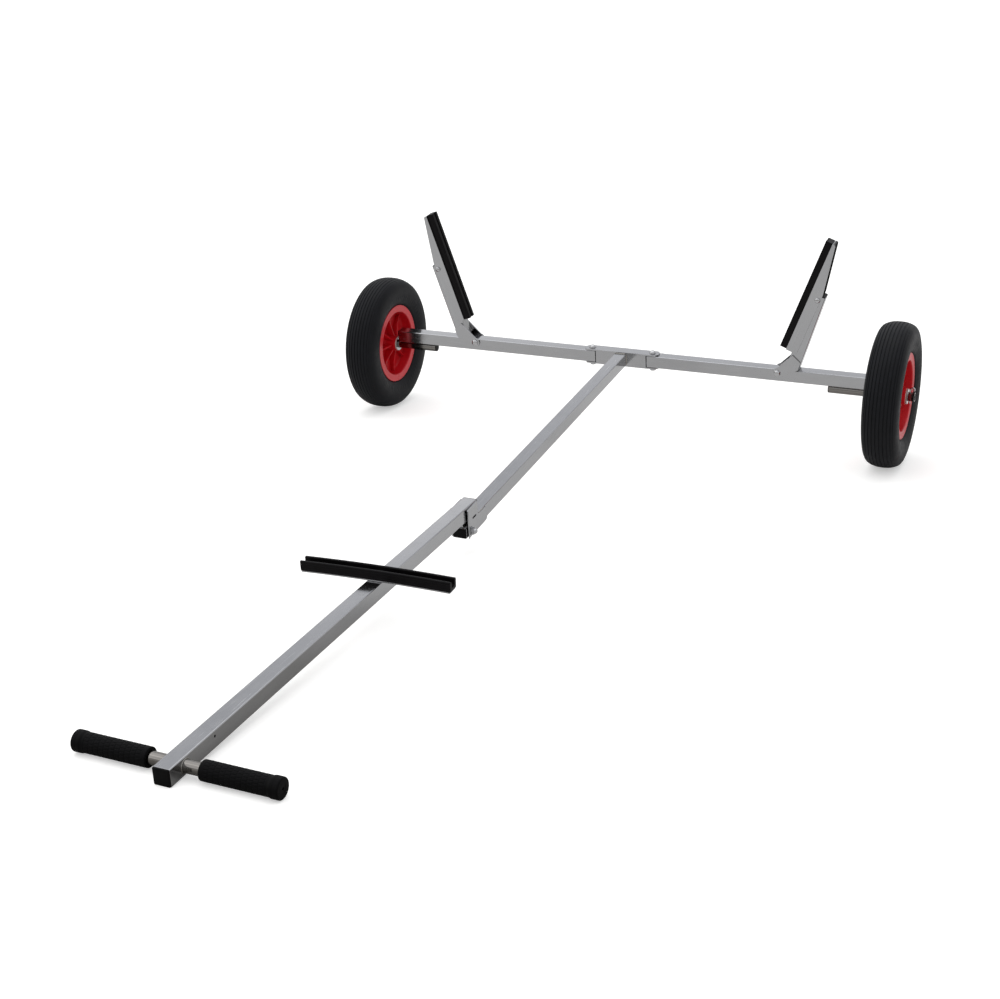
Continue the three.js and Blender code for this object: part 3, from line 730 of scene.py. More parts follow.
def hex_nut(axis, start, end, centre=(0, 0), bore=NUT_BORE):
    """Hexagon nut with its corners broken on both faces."""
    corners = [(NUT * math.cos(k * PI / 3), NUT * math.sin(k * PI / 3)) for k in range(6)]
    body = prism(round_poly(corners, 0.5, 3), start, end, axis)
    flat = NUT * math.cos(PI / 6)
    slope = (NUT - flat) * 0.62
    barrel = lathe([(0, start), (flat * 0.94, start), (NUT * 1.005, start + slope),
                    (NUT * 1.005, end - slope), (flat * 0.94, end), (0, end)], 48, axis)
    nut = minus(both(body, barrel), rod(axis, bore, start - 2, end + 2))
    return shifted(nut, *off_axis(axis, centre))


def thread(axis, radius, start, end, centre=(0, 0), pitch=1.25):
    """Bolt end with real thread ridges; its point is at end."""
    profile = [(0, start), (radius - 0.6, start)]
    place = start + 0.3
    while place < end - 0.4:
        profile += [(radius - 0.55, place), (radius, place + pitch * 0.5)]
        place += pitch
    profile += [(radius - 0.7, end - 0.15), (radius - 1.1, end), (0, end)]
    return lathe(profile, 28, axis, off_axis(axis, centre))


def washer(axis, radius, start, end, centre=(0, 0), bore=WASHER_BORE):
    edge = min(0.3, (end - start) * 0.3)
    profile = [(bore, start), (radius - edge, start), (radius, start + edge),
               (radius, end - edge), (radius - edge, end), (bore, end), (bore, start)]
    return lathe(profile, 56, axis, off_axis(axis, centre))


# ---------------------------------------------------------------- crossbar centre
CENTRE = box_in("center_section", CROSS)
REAR_TUBE = box_in("rear_drawbar_tube", CROSS)
HINGE_X = {side: joint_in("crossbar_fold_" + side, CROSS)[0] / MM for side, _ in SIDES}
PLATE = 4.0                # hinge plate thickness
CORE_HALF = 68.0           # half length of the square core tube
WALL_HALF = 76.5           # half length of the front wall
CUT_X, CUT_Y = 7.0, 10.0   # cut corners of the hinge plates
plate_under, plate_over = CENTRE.high[2] - PLATE, CENTRE.low[2] + PLATE


def center_section():
    """Short core tube and front wall between two hinge plates with cut corners."""
    (x0, y0, z0), (x1, y1, z1) = CENTRE
    low_z, high_z = plate_over - 0.3, plate_under + 0.3
    core = square_tube("x", (-CORE_HALF, y0, low_z), (CORE_HALF, y1, high_z), radius=1.6)
    front = bevel(box((-WALL_HALF, y0, low_z), (WALL_HALF, y0 + 2, high_z)), 0.3)
    plan = [(x0, y0 + CUT_Y), (x0 + CUT_X, y0), (x1 - CUT_X, y0), (x1, y0 + CUT_Y),
            (x1, y1 - CUT_Y), (x1 - CUT_X, y1), (x0 + CUT_X, y1), (x0, y1 - CUT_Y)]
    plan = round_poly(plan, 3.0)
    holes = [rod("z", BOLT_HOLE, z0 - 5, z1 + 5, (HINGE_X[side], 0), 36) for side, _ in SIDES]
    plates = [bevel(minus(prism(plan, bottom, top, "z"), *holes), 0.45)
              for bottom, top in ((plate_under, z1), (z0, plate_over))]
    piece("crossbar_center_section", join(union(core, front), *plates), CROSS, "frame",
          STEEL["x"], "center_section")


def center_welds():
    (x0, _, z0), (x1, end, z1) = REAR_TUBE
    seams = (
        ((x0 + 2, end - 0.6, z1 + 0.3), (x1 - 2, end - 0.6, z1 + 0.3)),
        ((x0 - 0.2, end - 0.7, z0 + 1.5), (x0 - 0.2, end - 0.7, z1 - 1.5)),
        ((x1 + 0.2, end - 0.7, z0 + 1.5), (x1 + 0.2, end - 0.7, z1 - 1.5)),
        ((x0 + 2, end - 0.6, z0 - 0.3), (x1 - 2, end - 0.6, z0 - 0.3)),
    )
    beads = [weld(seam, 1.7, seed=seed) for seed, seam in enumerate(seams, 2)]
    # Seams between the core tube and its two hinge plates
    reach, back = CORE_HALF - 3, CENTRE.high[1]
    for z in (plate_over - 0.05, plate_under + 0.05):
        beads.append(weld([(-reach, back, z), (reach, back, z)], 0.9, 1.3, seed=int(z) + 7))
    piece("center_weld_beads", join(*beads), CROSS, "frame", BEAD)


def hinge_fasteners(side):
    """Upright bolt and nut on which one beam of the crossbar folds."""
    bolt_box, nut_box = (box_in(kind + side, CROSS) for kind in ("hinge_bolt_", "hinge_nut_"))
    centre, top = (HINGE_X[side], 0), CENTRE.high[2]
    head = dome_head("z", 9.3, top + 0.3, bolt_box.high[2] - top - 0.3, 1, centre)
    ring = washer("z", HEAD_WASHER, top + 0.05, top + 1.2, centre)
    shaft = rod("z", BOLT, nut_box.low[2] - 1, top + 1, centre)
    tip = thread("z", BOLT, bolt_box.low[2] - 0.5, nut_box.low[2] + 1, centre)
    piece("hinge_bolt_dome_" + side, join(head, ring, union(shaft, tip)), CROSS, "frame",
          BRIGHT, "hinge_bolt_" + side)
    nut_top = nut_box.high[2]
    nut = hex_nut("z", nut_box.low[2], nut_top - 1.3, centre)
    ring = washer("z", NUT_WASHER, nut_top - 1.25, nut_top, centre)
    piece("hinge_nut_hex_" + side, join(nut, ring), CROSS, "frame", BRIGHT,
          "hinge_nut_" + side)


center_section()
piece("rear_drawbar_square_tube", square_tube("y", *REAR_TUBE), CROSS, "frame", STEEL["y"],
      "rear_drawbar_tube")
center_welds()
for side, _ in SIDES:
    hinge_fasteners(side)

# ---------------------------------------------------------------- fold joint of the drawbar
pivot = joint_in("drawbar_fold", CROSS) / MM
PIVOT = (pivot[1], pivot[2])
FORK_SHEET = 3.0
FLARE_LENGTH, FLARE_TURN = 7.2, 1.15      # flare at the plate's front edge; turn in radians
SLOT_Y, SLOT_Z = -1080.0, 50.0            # slot centre
SLOT_HALF_LENGTH, SLOT_HALF_HEIGHT = 10.4, 2.4


def fork_plate(side, sign):
    """Slotted side plate of the fork, flared outward at its front edge."""
    bounds = box_in("fold_plate_" + side, CROSS)
    (_, front, bottom), (_, back, top) = bounds
    x_in, x_out = sorted((abs(bounds.low[0]), abs(bounds.high[0])))
    inner, outer = [(x_in, back)], [(x_in + FORK_SHEET, back)]
    flare = x_out - x_in - FORK_SHEET
    flare_back, steps = front + FLARE_LENGTH, 10
    for k in range(steps + 1):
        q = k / steps
        y = flare_back - (flare_back - front) * q
        shift = flare * (1 - math.cos(q * FLARE_TURN)) / (1 - math.cos(FLARE_TURN))
        inner.append((x_in + shift, y))
        outer.append((x_in + FORK_SHEET + shift, y + 0.25 * q))
    plan = [(sign * x, y) for x, y in inner + outer[::-1]]
    plate = prism(plan, bottom - 5, top + 5, "z")
    # Side view: y, z
    profile = [(front, bottom), (back - 6, bottom + 1.6), (back, bottom + 7),
               (back, bottom + 35.5), (back - 38, bottom + 36.5), (back - 48.5, bottom + 38),
               (back - 48.5, top), (front, top)]
    profile = round_poly(profile, [1.5, 2.5, 3, 3, 4, 4, 4, 2])
    slot = rounded_rect((SLOT_Y - SLOT_HALF_LENGTH, SLOT_Z - SLOT_HALF_HEIGHT),
                        (SLOT_Y + SLOT_HALF_LENGTH, SLOT_Z + SLOT_HALF_HEIGHT), 2.39, 8)
    plate = both(plate, prism(profile, -60, 60, "x"))
    plate = minus(plate, prism(slot, -60, 60, "x"), drill("x", 60, PIVOT))
    piece("fold_fork_plate_" + side, bevel(plate, 0.4, angle=50), CROSS, "frame", SHEET,
          "fold_plate_" + side)

    x_top, x_back, tube_top = sign * (x_in - 0.2), sign * (x_in + 0.6), REAR_TUBE.high[2]
    beads = (
        weld([(x_top, back - 8, tube_top - 2.6), (x_top, back - 40, tube_top - 2.2)], 1.3,
             seed=11),
        weld([(x_back, back + 0.5, bottom + 9), (x_back, back + 0.5, bottom + 34)], 1.6,
             seed=12),
    )
    piece("fork_plate_weld_" + side, join(*beads), CROSS, "frame", BEAD)


def fold_pivot():
    """Cross bolt through the fork, domed at -x and with a cap nut at +x."""
    bolt_box, nut_box = box_in("fold_pivot_bolt", CROSS), box_in("fold_pivot_nut", CROSS)
    seat = -21.4
    head = dome_head("x", 9.0, seat - 0.2, abs(bolt_box.low[0]) - 21.6, -1, PIVOT)
    ring = washer("x", HEAD_WASHER - 0.2, seat - 0.48, seat + 0.55, PIVOT)
    shaft = rod("x", BOLT, seat - 1, bolt_box.high[0], PIVOT, edge=0.3)
    piece("fold_pivot_bolt_dome", join(head, ring, shaft), CROSS, "frame", BRIGHT,
          "fold_pivot_bolt")
    start, dome_base = nut_box.low[0], 28.6
    nut = hex_nut("x", start + 0.9, 28.0, PIVOT, bore=5.15)
    dome = [(0, 27.4), (6.9, 27.4), (6.95, dome_base)]
    dome += quarter_dome(6.7, dome_base, nut_box.high[0] - dome_base, 8)
    cap = lathe(dome, 40, "x", off_axis("x", PIVOT))
    ring = washer("x", NUT_WASHER, start - 0.2, start + 0.85, PIVOT)
    piece("fold_pivot_cap_nut", join(nut, cap, ring), CROSS, "frame", BRIGHT,
          "fold_pivot_nut")


for side, sign in SIDES:
    fork_plate(side, sign)
fold_pivot()

# ---------------------------------------------------------------- front drawbar
FRONT_TUBE = box_in("front_drawbar_tube", DRAWBAR)
HANDLE = box_in("handle_tube", DRAWBAR)
handle_y = (HANDLE.low[1] + HANDLE.high[1]) / 2
handle_z = (HANDLE.low[2] + HANDLE.high[2]) / 2
handle_radius = (HANDLE.high[2] - HANDLE.low[2]) / 2
BOW_REST_Y = FRONT_TUBE.high[1] - 458      # bow rest, from the tube's rear end
SIDE_HOLE_Y = FRONT_TUBE.high[1] - 1093    # small hole in the +x wall


def front_tube():
    """Square tube drilled for the handle, the bow rest bolt and a small side hole."""
    top = FRONT_TUBE.high[2]
    tube = minus(
        square_tube("y", *FRONT_TUBE),
        rod("x", handle_radius + 0.3, -40, 40, (handle_y, handle_z), 56),
        rod("x", 2.6, 10, 40, (SIDE_HOLE_Y, top - 11), 24),
        rod("z", SMALL_HOLE, top - 5, top + 5, (0, BOW_REST_Y)))
    piece("front_drawbar_square_tube", tube, DRAWBAR, "front_drawbar", STEEL["y"],
          "front_drawbar_tube")


def drawbar_plug(name, node, tube_end, out, insert, edge=0.9):
    shape = end_plug("y", box_in(node, DRAWBAR), tube_end, out, insert, edge)
    piece(name, shape, DRAWBAR, "front_drawbar", PLUG, node)


def hinge_block():
    """Short tube on the pivot, joined to the front tube by a web on top."""
    block = box_in("fold_hinge_block", DRAWBAR)
    (x0, front, _), (x1, back, top) = block
    half_height, web_half = 12.5, 7
    tube = square_tube("y", (x0, front, -half_height), (x1, back, half_height), radius=2.4)
    web = bevel(box((-web_half, front + 3, half_height - 1.2), (web_half, back, top)), 0.4)
    shape = minus(union(tube, web), drill("x", 30))
    piece("fold_hinge_block_tube", shape, DRAWBAR, "front_drawbar", STEEL["x"],
          "fold_hinge_block")
    beads = [
        weld([(way * (web_half + 0.3), front + 4, z), (way * (web_half + 0.3), back - 1, z)],
             radius, seed=seed)
        for z, radius, seed in ((half_height + 0.3, 1.5, 21), (top - 0.1, 1.4, 22))
        for way in (-1, 1)]
    piece("hinge_block_weld", join(*beads), DRAWBAR, "front_drawbar", BEAD)
    drawbar_plug("hinge_block_end_plug", "hinge_block_plug", front, -1, insert=9.5)


def cross_handle():
    tube = round_tube(handle_radius, 1.5, HANDLE.low[0], HANDLE.high[0], 0.3, 96,
                      (0, handle_y, handle_z))
    piece("cross_handle_tube", tube, DRAWBAR, "front_drawbar", CHROME, "handle_tube")
    radius = handle_radius + 0.4
    beads = []
    for way in (-1, 1):
        x = way * (FRONT_TUBE.high[0] + 0.2)
        # x lies just inside the low wall's mirror image of the high one
        circle = [(way * (FRONT_TUBE.high[0] + 0.2), handle_y + radius * math.cos(a),
                   handle_z + radius * math.sin(a)) for a in np.linspace(0, 2 * PI, 61)]
        beads.append(weld(circle, 1.15, 1.5, seed=31 + way, taper=False))
    piece("cross_handle_weld", join(*beads), DRAWBAR, "front_drawbar", BEAD)


def handle_grip(side, sign):
    """Grip with moulded blocks between a plain collar and a flanged outer end."""
    bounds = box_in("grip_" + side, DRAWBAR)
    length = bounds.high[0] - bounds.low[0]
    flange = bounds.high[2] - handle_z - 0.05
    bore, body = handle_radius + 0.35, 18.95
    # Profile: radius, distance from the inner end
    profile = [(bore, 0.4), (bore + 0.8, 0.0)]
    profile += [(17.4 + 1.5 * math.sin(q), 1.5 - 1.5 * math.cos(q))
                for q in np.linspace(0, PI / 2, 6)]
    place = 2.4
    while place < length - 23:
        profile.append((body, place))
        place += 0.92
    profile += [(body + (flange - body) * (3 * q * q - 2 * q ** 3), length - 23 + 6.5 * q)
                for q in np.linspace(0, 1, 8)]
    profile += [(flange, length - 15.2), (flange, length - 12), (flange - 0.4, length - 11.6),
                (flange - 0.4, length - 10.8), (flange, length - 10.4), (flange, length - 3.6)]
    profile += [(flange - 3.2 * (1 - math.cos(q)), length - 3.6 + 3.3 * math.sin(q))
                for q in np.linspace(0, PI / 2, 9)[1:]]
    profile += [(9, length), (8.4, length - 0.5), (3.2, length - 0.5), (2.5, length - 1.2),
                (2.5, length - 8.4), (bore, length - 8.4), (bore, 0.4)]
    blocks, pitch, blocks_start = 18, 11.0, 9   # blocks round the grip, and their rows

    def relief(_, h, angle, r):
        if h < blocks_start or h > length - 27:
            return r, h
        row = (h - blocks_start) / pitch
        u = row % 1.0
        w = (angle / (2 * PI) * blocks + (0.5 if int(row) % 2 else 0.0)) % 1.0
        row_gap = min(u, 1 - u) * pitch
        side_gap = min(w, 1 - w) * 2 * PI * r / blocks
        groove = max(1 - row_gap / 1.3, 1 - side_gap / 1.1, 0.0)
        bulge = 0.1 * math.sin(PI * u) * math.sin(PI * w)
        return r - 0.7 * min(1.0, groove * 1.5) ** 1.4 + bulge, h

    grip = lathe(profile, 216, "x", relief=relief)
    if sign < 0:
        grip = mirrored(grip)
    inner_end = bounds.low[0] if sign > 0 else bounds.high[0]
    piece("handle_grip_" + side, shifted(grip, inner_end, handle_y, handle_z), DRAWBAR,
          "front_drawbar", GRIP, "grip_" + side, sharp=50)


front_tube()
drawbar_plug("front_tube_tail_plug", "front_tube_rear_plug", FRONT_TUBE.high[1], 1, insert=14)
drawbar_plug("front_tube_end_cap", "front_end_cap", FRONT_TUBE.low[1], -1, insert=15, edge=1.3)
hinge_block()
cross_handle()
for side, sign in SIDES:
    handle_grip(side, sign)

# ---------------------------------------------------------------- bow rest on the drawbar
rail_axis = face_axis("bow_rest_rail", DRAWBAR.col[1].to_3d())
BOW_REST = axes(DRAWBAR @ Vector((0, BOW_REST_Y * MM, 0)), rail_axis.cross(DRAWBAR_UP),
                rail_axis)
RAIL = box_in("bow_rest_rail", BOW_REST)
rail_y = (RAIL.low[1] + RAIL.high[1]) / 2
rail_half = RAIL.high[0]
rail_base = FRONT_TUBE.high[2] + 0.3
SAG = 3.0                                  # drop of the arch at the strip's ends
CHANNEL_HALF, CHANNEL_HEIGHT = 15, 26      # rubber half width; top above the strip's base


def arch(section, places, end_cut):
    """Section (y, z) swept across the tube along the arch."""
    section = np.array(section, float)
    middle_z = (section[:, 1].min() + section[:, 1].max()) / 2
    rings = []
    for i, x in enumerate(places):
        ring = grown(section, -end_cut) if i in (0, len(places) - 1) else section
        slope = -2 * SAG * x / rail_half ** 2
        rings.append(np.column_stack([x - (ring[:, 1] - middle_z) * slope * 0.6, ring[:, 0],
                                      ring[:, 1] - SAG * (x / rail_half) ** 2]))
    return loft(rings)


def arch_places(end, inset, count):
    return [-end] + list(np.linspace(-end + inset, end - inset, count)) + [end]


def bow_strip():
    section = rounded_rect((rail_y - 14, rail_base), (rail_y + 14, rail_base + 3), 0.8, 3)
    strip = arch(section, arch_places(rail_half - 0.4, 0.5, 49), 0.35)
    strip = minus(strip, rod("z", SMALL_HOLE, rail_base - 3, rail_base + 6, (0, rail_y)))
    piece("bow_rest_steel_strip", strip, BOW_REST, "front_drawbar", STEEL["x"],
          "bow_rest_rail")


def bow_channel():
    """Rubber channel, open upward, with two fine extrusion lines on each outer flank."""
    bottom, top = rail_base + 3.3, rail_base + CHANNEL_HEIGHT
    # y from the middle, z, corner radius
    table = [
        (-15, bottom, 1.0), (15, bottom, 1.0), (15, top, 2.6), (8.7, top, 2.6),
        (8.5, bottom + 7.2, 2.2), (3.0, bottom + 6.5, 0.6), (-3.0, bottom + 6.5, 0.6),
        (-8.5, bottom + 7.2, 2.2), (-8.7, top, 2.6), (-15, top, 2.6),
    ]
    section = round_poly([(rail_y + y, z) for y, z, _ in table], [r for *_, r in table], 5)
    lined = []
    for (y, z), (next_y, next_z) in zip(section, section[1:] + section[:1]):
        lined.append((y, z))
        on_flank = all(abs(abs(v - rail_y) - CHANNEL_HALF) < 0.02 for v in (y, next_y))
        if on_flank and abs(next_z - z) > 12:
            way = 1 if next_z > z else -1
            out = 1 if y > rail_y else -1
            for line in (min(z, next_z) + 4.0, max(z, next_z) - 3.4)[::way]:
                lined += [(y, line - way * 0.7), (y - out * 0.55, line),
                          (y, line + way * 0.7)]
    channel = arch(lined, arch_places(rail_half + 1.5, 0.7, 61), 0.6)
    channel = minus(channel, rod("z", 4.6, rail_base + 1, rail_base + 13, (0, rail_y)))
    piece("bow_rest_rubber_channel", channel, BOW_REST, "front_drawbar", PAD,
          "bow_rest_rubber", sharp=38)


def bow_bolt():
    low, high = (corner[2] for corner in box_in("bow_rest_bolt", BOW_REST))
    seat, centre = rail_base + 10.2, (0, rail_y)
    head = dome_head("z", 7.0, seat, high - seat, 1, centre, 40)
    ring = washer("z", 8.1, seat - 0.45, seat + 0.3, centre, bore=4.1)
    shaft = union(rod("z", SMALL_BOLT, low + 8, seat + 1, centre, 28),
                  thread("z", SMALL_BOLT, low, low + 9, centre))
    piece("bow_rest_dome_bolt", join(head, ring, shaft), BOW_REST, "front_drawbar", BRIGHT,
          "bow_rest_bolt")


bow_strip()
bow_channel()
bow_bolt()

# ---------------------------------------------------------------- crossbar beams and axles
CLIP_X = 825.0     # spring clip, from the middle of the axle


def beam(side, sign):
    bounds = box_in("crossbar_beam_" + side, CROSS)
    body = "beam_" + side
    post_pivot = joint_in("support_fold_" + side, CROSS) / MM
    tube = minus(square_tube("x", *bounds),
                 rod("z", BOLT_HOLE, bounds.low[2] - 3, bounds.high[2] + 3,
                     (HINGE_X[side], 0), 36),
                 drill("y", 30, (post_pivot[0], post_pivot[2])))
    piece("crossbar_square_beam_" + side, tube, CROSS, body, STEEL["x"],
          "crossbar_beam_" + side)
    tube_end = bounds.high[0] if sign > 0 else bounds.low[0]
    plug = end_plug("x", box_in("beam_end_plug_" + side, CROSS), tube_end, sign, insert=11)
    piece("beam_end_cap_" + side, plug, CROSS, body, PLUG, "beam_end_plug_" + side)


def axle(side, sign):
    """Axle tube drilled for its clip, the beads that hold it to the beam, and its end plug. The
    unbroken beads are partly weld and partly painted shade along the joint.
    """
    body = "beam_" + side
    low, high = box_in("axle_tube_" + side, CROSS)
    radius = (high[2] - low[2]) / 2
    tube = minus(round_tube(radius, 2.5, low[0], high[0], 0.35, 80),
                 drill("z", 20, (sign * CLIP_X, 0), 2.7, 24))
    piece("wheel_axle_tube_" + side, tube, CROSS, body, CHROME, "axle_tube_" + side)

    beam_box = box_in("crossbar_beam_" + side, CROSS)
    start = sign * (min(abs(low[0]), abs(high[0])) + 5)
    end = sign * (max(abs(beam_box.low[0]), abs(beam_box.high[0])) - 4)
    z = radius - 1.55
    # painted shade: the beads run unbroken, so that their dark warm band also stands in for the
    # shaded contact line between beam and axle
    beads = [weld([(start, way * 6.6, z), (end, way * 6.6, z)], 2.3, 2.2, seed=41 + way)
             for way in (-1, 1)]
    piece("axle_weld_and_shade_beads_" + side, join(*beads), CROSS, body, BEAD)

    plug_box = box_in("axle_plug_" + side, CROSS)
    # The left plug's box is read at its inboard corner on x for low, outboard for high
    face = plug_box.low[0] if sign > 0 else plug_box.high[0]
    mouth = (low[0] if sign > 0 else high[0]) - sign * 0.3
    # Radius and depth of the face, from its outer plane, then of the insert, from the mouth
    front = ((0, 0.25), (4, 0.1), (10.6, 0), (11.8, 0.5), (12.0, 1.1))
    insert = ((12.0, 0), (9.4, 0), (9.6, 3), (9.0, 3.4), (9.6, 7), (9.0, 7.4), (9.2, 11.5),
              (0, 11.8))
    profile = [(r, face + sign * depth) for r, depth in front]
    profile += [(r, mouth + sign * depth) for r, depth in insert]
    piece("axle_end_plug_" + side, lathe(profile, 48), CROSS, body, PLUG,
          "axle_plug_" + side)


def spring_clip(side, sign):
    """Wire pin through the axle, bent over in a loop at its top."""
    # x outboard from the hole, z
    knots = [(0, -20), (0, -14), (0, -8), (0, 4), (0, 12), (0.05, 17), (0.9, 21.6),
             (3.8, 25.2), (8.0, 26.0), (11.0, 23.6), (11.5, 19.6), (10.5, 17)]
    path = spline(knots, 8) + [knots[-1]]
    radii = [1.2, 1.7] + [1.9] * (len(path) - 3) + [1.5]
    wire = tube_path([(sign * CLIP_X + sign * x, 0, z) for x, z in path], radii, 16)
    piece("axle_spring_clip_" + side, wire, CROSS, "beam_" + side, BRIGHT,
          "axle_clip_" + side)


# ---------------------------------------------------------------- wheels
# Wheel shapes are built about the wheel's centre with +x outboard, and mirrored on the left
VALVE_ANGLE = PI / 2 + PI / 8
VALVE = axes((15, 0, 0), (0, math.cos(VALVE_ANGLE), math.sin(VALVE_ANGLE)), (1, 0, 0))
# Tyre side from bead to shoulder at radius 200 and half width 49: radius, x
TYRE_SIDE = [(119.9, 34.4), (122.5, 38.2), (128, 41.7), (136, 45.2), (146, 47.7), (155, 48.8),
             (163, 49.0), (172, 48.1), (179, 46.3), (185, 43.6), (190, 39.6)]
# Inside of the tyre: radius, x
TYRE_INSIDE = [(116, 26), (130, 35.5), (148, 40.5), (162, 42), (175, 39), (183.5, 34.5),
               (190, 20), (192.5, 6)]
# Tread grooves, outermost first: x, half width, depth
GROOVES = ((38.2, 0.7, 1.0), (32.6, 1.0, 1.5), (24.0, 1.1, 1.8), (14.6, 1.15, 1.9),
           (4.9, 1.15, 1.9))
# Raised rings on the sidewall: radius, half width, height
SIDE_RINGS = ((126.5, 1.4, 0.8), (134.5, 0.9, 0.5), (150.5, 0.8, 0.5), (171.0, 1.1, 0.7),
              (181.5, 0.9, 0.6))


def wheel_piece(side, name, shape, finish, replaces, sharp=32.0, body="wheel_"):
    if side == "left":
        shape = mirrored(shape)
    shape = turned(shape, WHEEL_LEVEL[side].inverted() @ WHEEL[side])
    piece(name, shape, WHEEL_LEVEL[side], body + side, finish, replaces, sharp)


def with_mirror(profile):
    """Profile of (radius, x) carried on to the other side of the wheel."""
    return profile + [(r, -x) for r, x in profile[::-1]]


def tyre(side):
    """Tyre with broad ribs parted by shallow grooves, rings and knurling on its sides."""
    bounds = box_in("tyre_" + side, WHEEL[side])
    radius, half_width = bounds.high[2], bounds.high[0]
    half = spline([(r * radius / 200, x * half_width / 49) for r, x in TYRE_SIDE], 4)
    shoulder = 39.6 * half_width / 49
    for x, width, depth in GROOVES:
        for place, drop in ((x + width + 0.35, 0), (x + width, 0.35), (x + width * 0.7, depth),
                            (x - width * 0.7, depth), (x - width, 0.35),
                            (x - width - 0.35, 0)):
            half.append((radius - 10.0 * (place / shoulder) ** 2.6 - drop, place))
    outside = with_mirror(half)
    profile = outside + [(105.4, -32.4), (105.4, -26.2)] + with_mirror(TYRE_INSIDE)[::-1]
    profile += [(105.4, 26.2), (105.4, 32.4), outside[0]]

    def relief(k, x, angle, r):
        if k >= len(outside):
            return r, x
        raised = 0.0
        for centre, width, height in SIDE_RINGS:
            raised += height * max(0.0, 1 - abs(r - centre) / width)
        turn = angle / (2 * PI)
        if 137.0 < r < 147.5 and abs(x) > 40:
            # knurled band
            edge = min(r - 137.0, 147.5 - r)
            raised += 0.55 * min(1.0, edge / 1.2) * (1.0 if int(turn * 144) % 2 else 0.0)
        if 173.5 < r < 186 and abs(x) > 39:
            # radial cuts near the shoulder
            cut = max(0.0, 1 - abs((turn * 96) % 1.0 - 0.5) / 0.16)
            raised -= 0.8 * cut * min(1.0, min(r - 173.5, 186 - r) / 2.0)
        return r, x + (1 if x > 0 else -1) * raised

    wheel_piece(side, "ribbed_tyre_" + side, lathe(profile, 288, relief=relief), TYRE,
                "tyre_" + side, sharp=48)


def rim_ribs():
    """Eight ribs on each side of the rim's web, thinner towards their top edge."""
    # radius, x, corner radius
    table = [(20.8, 2.0, 0), (20.8, 26.8, 1), (26.5, 27.6, 3), (33.0, 25.4, 4), (62.0, 17.6, 8),
             (88.0, 15.2, 6), (98.6, 16.4, 1), (98.6, 2.0, 0)]
    rib = prism(round_poly([row[:2] for row in table], [row[2] for row in table], 3),
                -2.6, 2.6, "z")
    rib.points[:, 2] *= 1.0 - 0.30 * np.clip((rib.points[:, 1] - 4) / 22, 0, 1)
    rib = bevel(rib, 0.8, angle=50, pick=lambda e: min(v.co[1] for v in e.verts) > 3.0)
    r, x, t = rib.points.T
    ribs = []
    for way in (1, -1):
        for k in range(8):
            a = k * PI / 4
            points = np.stack([x * way, r * math.cos(a) - t * math.sin(a),
                               r * math.sin(a) + t * math.cos(a)], 1)
            ribs.append(fixed(Shape(points, rib.faces)))
    return ribs


def rim(side):
    bounds = box_in("rim_" + side, WHEEL[side])
    radius, half_width = bounds.high[2], bounds.high[0]
    # Half profile from the bore over hub, web and lip to the well: radius, x
    half = [
        (16.8, half_width), (17.6, half_width), (20.8, half_width), (22.3, half_width - 0.8),
        (22.6, half_width - 2.2), (24.2, 10), (25.6, 6.2), (29.4, 4.6), (86, 4.2), (91.5, 5.4),
        (94.0, 9.4), (96.9, half_width - 3.8), (97.8, half_width - 1.6),
        (99.2, half_width - 0.9), (101.2, half_width - 0.7), (106.8, half_width - 0.6),
        (112, half_width - 0.5), (116.2, half_width), (radius - 0.9, half_width),
        (radius, half_width - 0.8), (radius, half_width - 2.1),
        (radius - 1.0, half_width - 2.7), (106.4, half_width - 5.0),
        (104.3, half_width - 6.6), (104, 28),
    ]
    profile = with_mirror(round_poly(half, 0.6, 2, closed=False))
    shape = union(lathe(profile + profile[:1], 144), *rim_ribs())
    shape = minus(shape, turned(rod("x", 4.8, 84, 112, segments=28), VALVE))
    wheel_piece(side, "spoked_rim_" + side, shape, RED, "rim_" + side, sharp=36)


def inner_tube(side):
    """Inner tube inside the tyre, with its capped valve through the rim."""
    ring = [(150 + 31.0 * math.cos(a), 30.5 * math.sin(a)) for a in np.linspace(0, 2 * PI, 29)]
    ring[-1] = ring[0]
    # radius, distance from the wheel's axis
    stem = [(0, 121), (4.0, 121), (4.1, 104), (3.6, 98), (3.5, 93.2), (3.9, 92.8),
            (3.9, 91.6), (3.5, 91.2), (3.1, 90.8), (3.9, 89.9), (4.0, 89.4)]
    stem += [(4.0 - (0.25 if i % 2 else 0), 88.9 - i * 0.35) for i in range(14)]
    stem += [(3.8, 83.4), (3.0, 82.4), (0, 82.2)]
    shape = join(lathe(ring, 96), turned(lathe(stem, 28), VALVE))
    wheel_piece(side, "inner_tube_valve_" + side, shape, (PLUG[0], "tyre_rubber"),
                "inner_tube_" + side)


def hub_parts(side):
    """A flanged bush and a washer at each end of the hub."""
    # radius, x
    bush = [(12.9, 18.5), (13.2, 18), (16.1, 18), (16.4, 18.4), (16.4, 38.3), (20.2, 38.3),
            (20.5, 38.7), (20.5, 39.9), (20.1, 40.3), (13.3, 40.3), (12.9, 39.9), (12.9, 18.5)]
    plate = [(12.9, 40.6), (20.6, 40.6), (21, 41.0), (21, 42.4), (20.6, 42.8), (13.2, 42.8),
             (12.9, 42.5), (12.9, 40.6)]
    for end, way in (("inner", -1), ("outer", 1)):
        tag = end + "_" + side
        wheel_piece(side, "hub_bush_" + tag, lathe([(r, way * x) for r, x in bush], 72),
                    NYLON, "bearing_bush_" + tag)
        wheel_piece(side, "hub_washer_" + tag + "_plate",
                    lathe([(r, way * x) for r, x in plate], 72), BRIGHT, "hub_washer_" + tag,
                    body="beam_")


# ---------------------------------------------------------------- hull supports
POST_FOOT = 28.3                  # lower end of the post above its pivot
POST_NEAR, POST_FAR = 17.0, 52.0  # sides of the post on x
POST_HALF = 17.5                  # half depth of the post on y


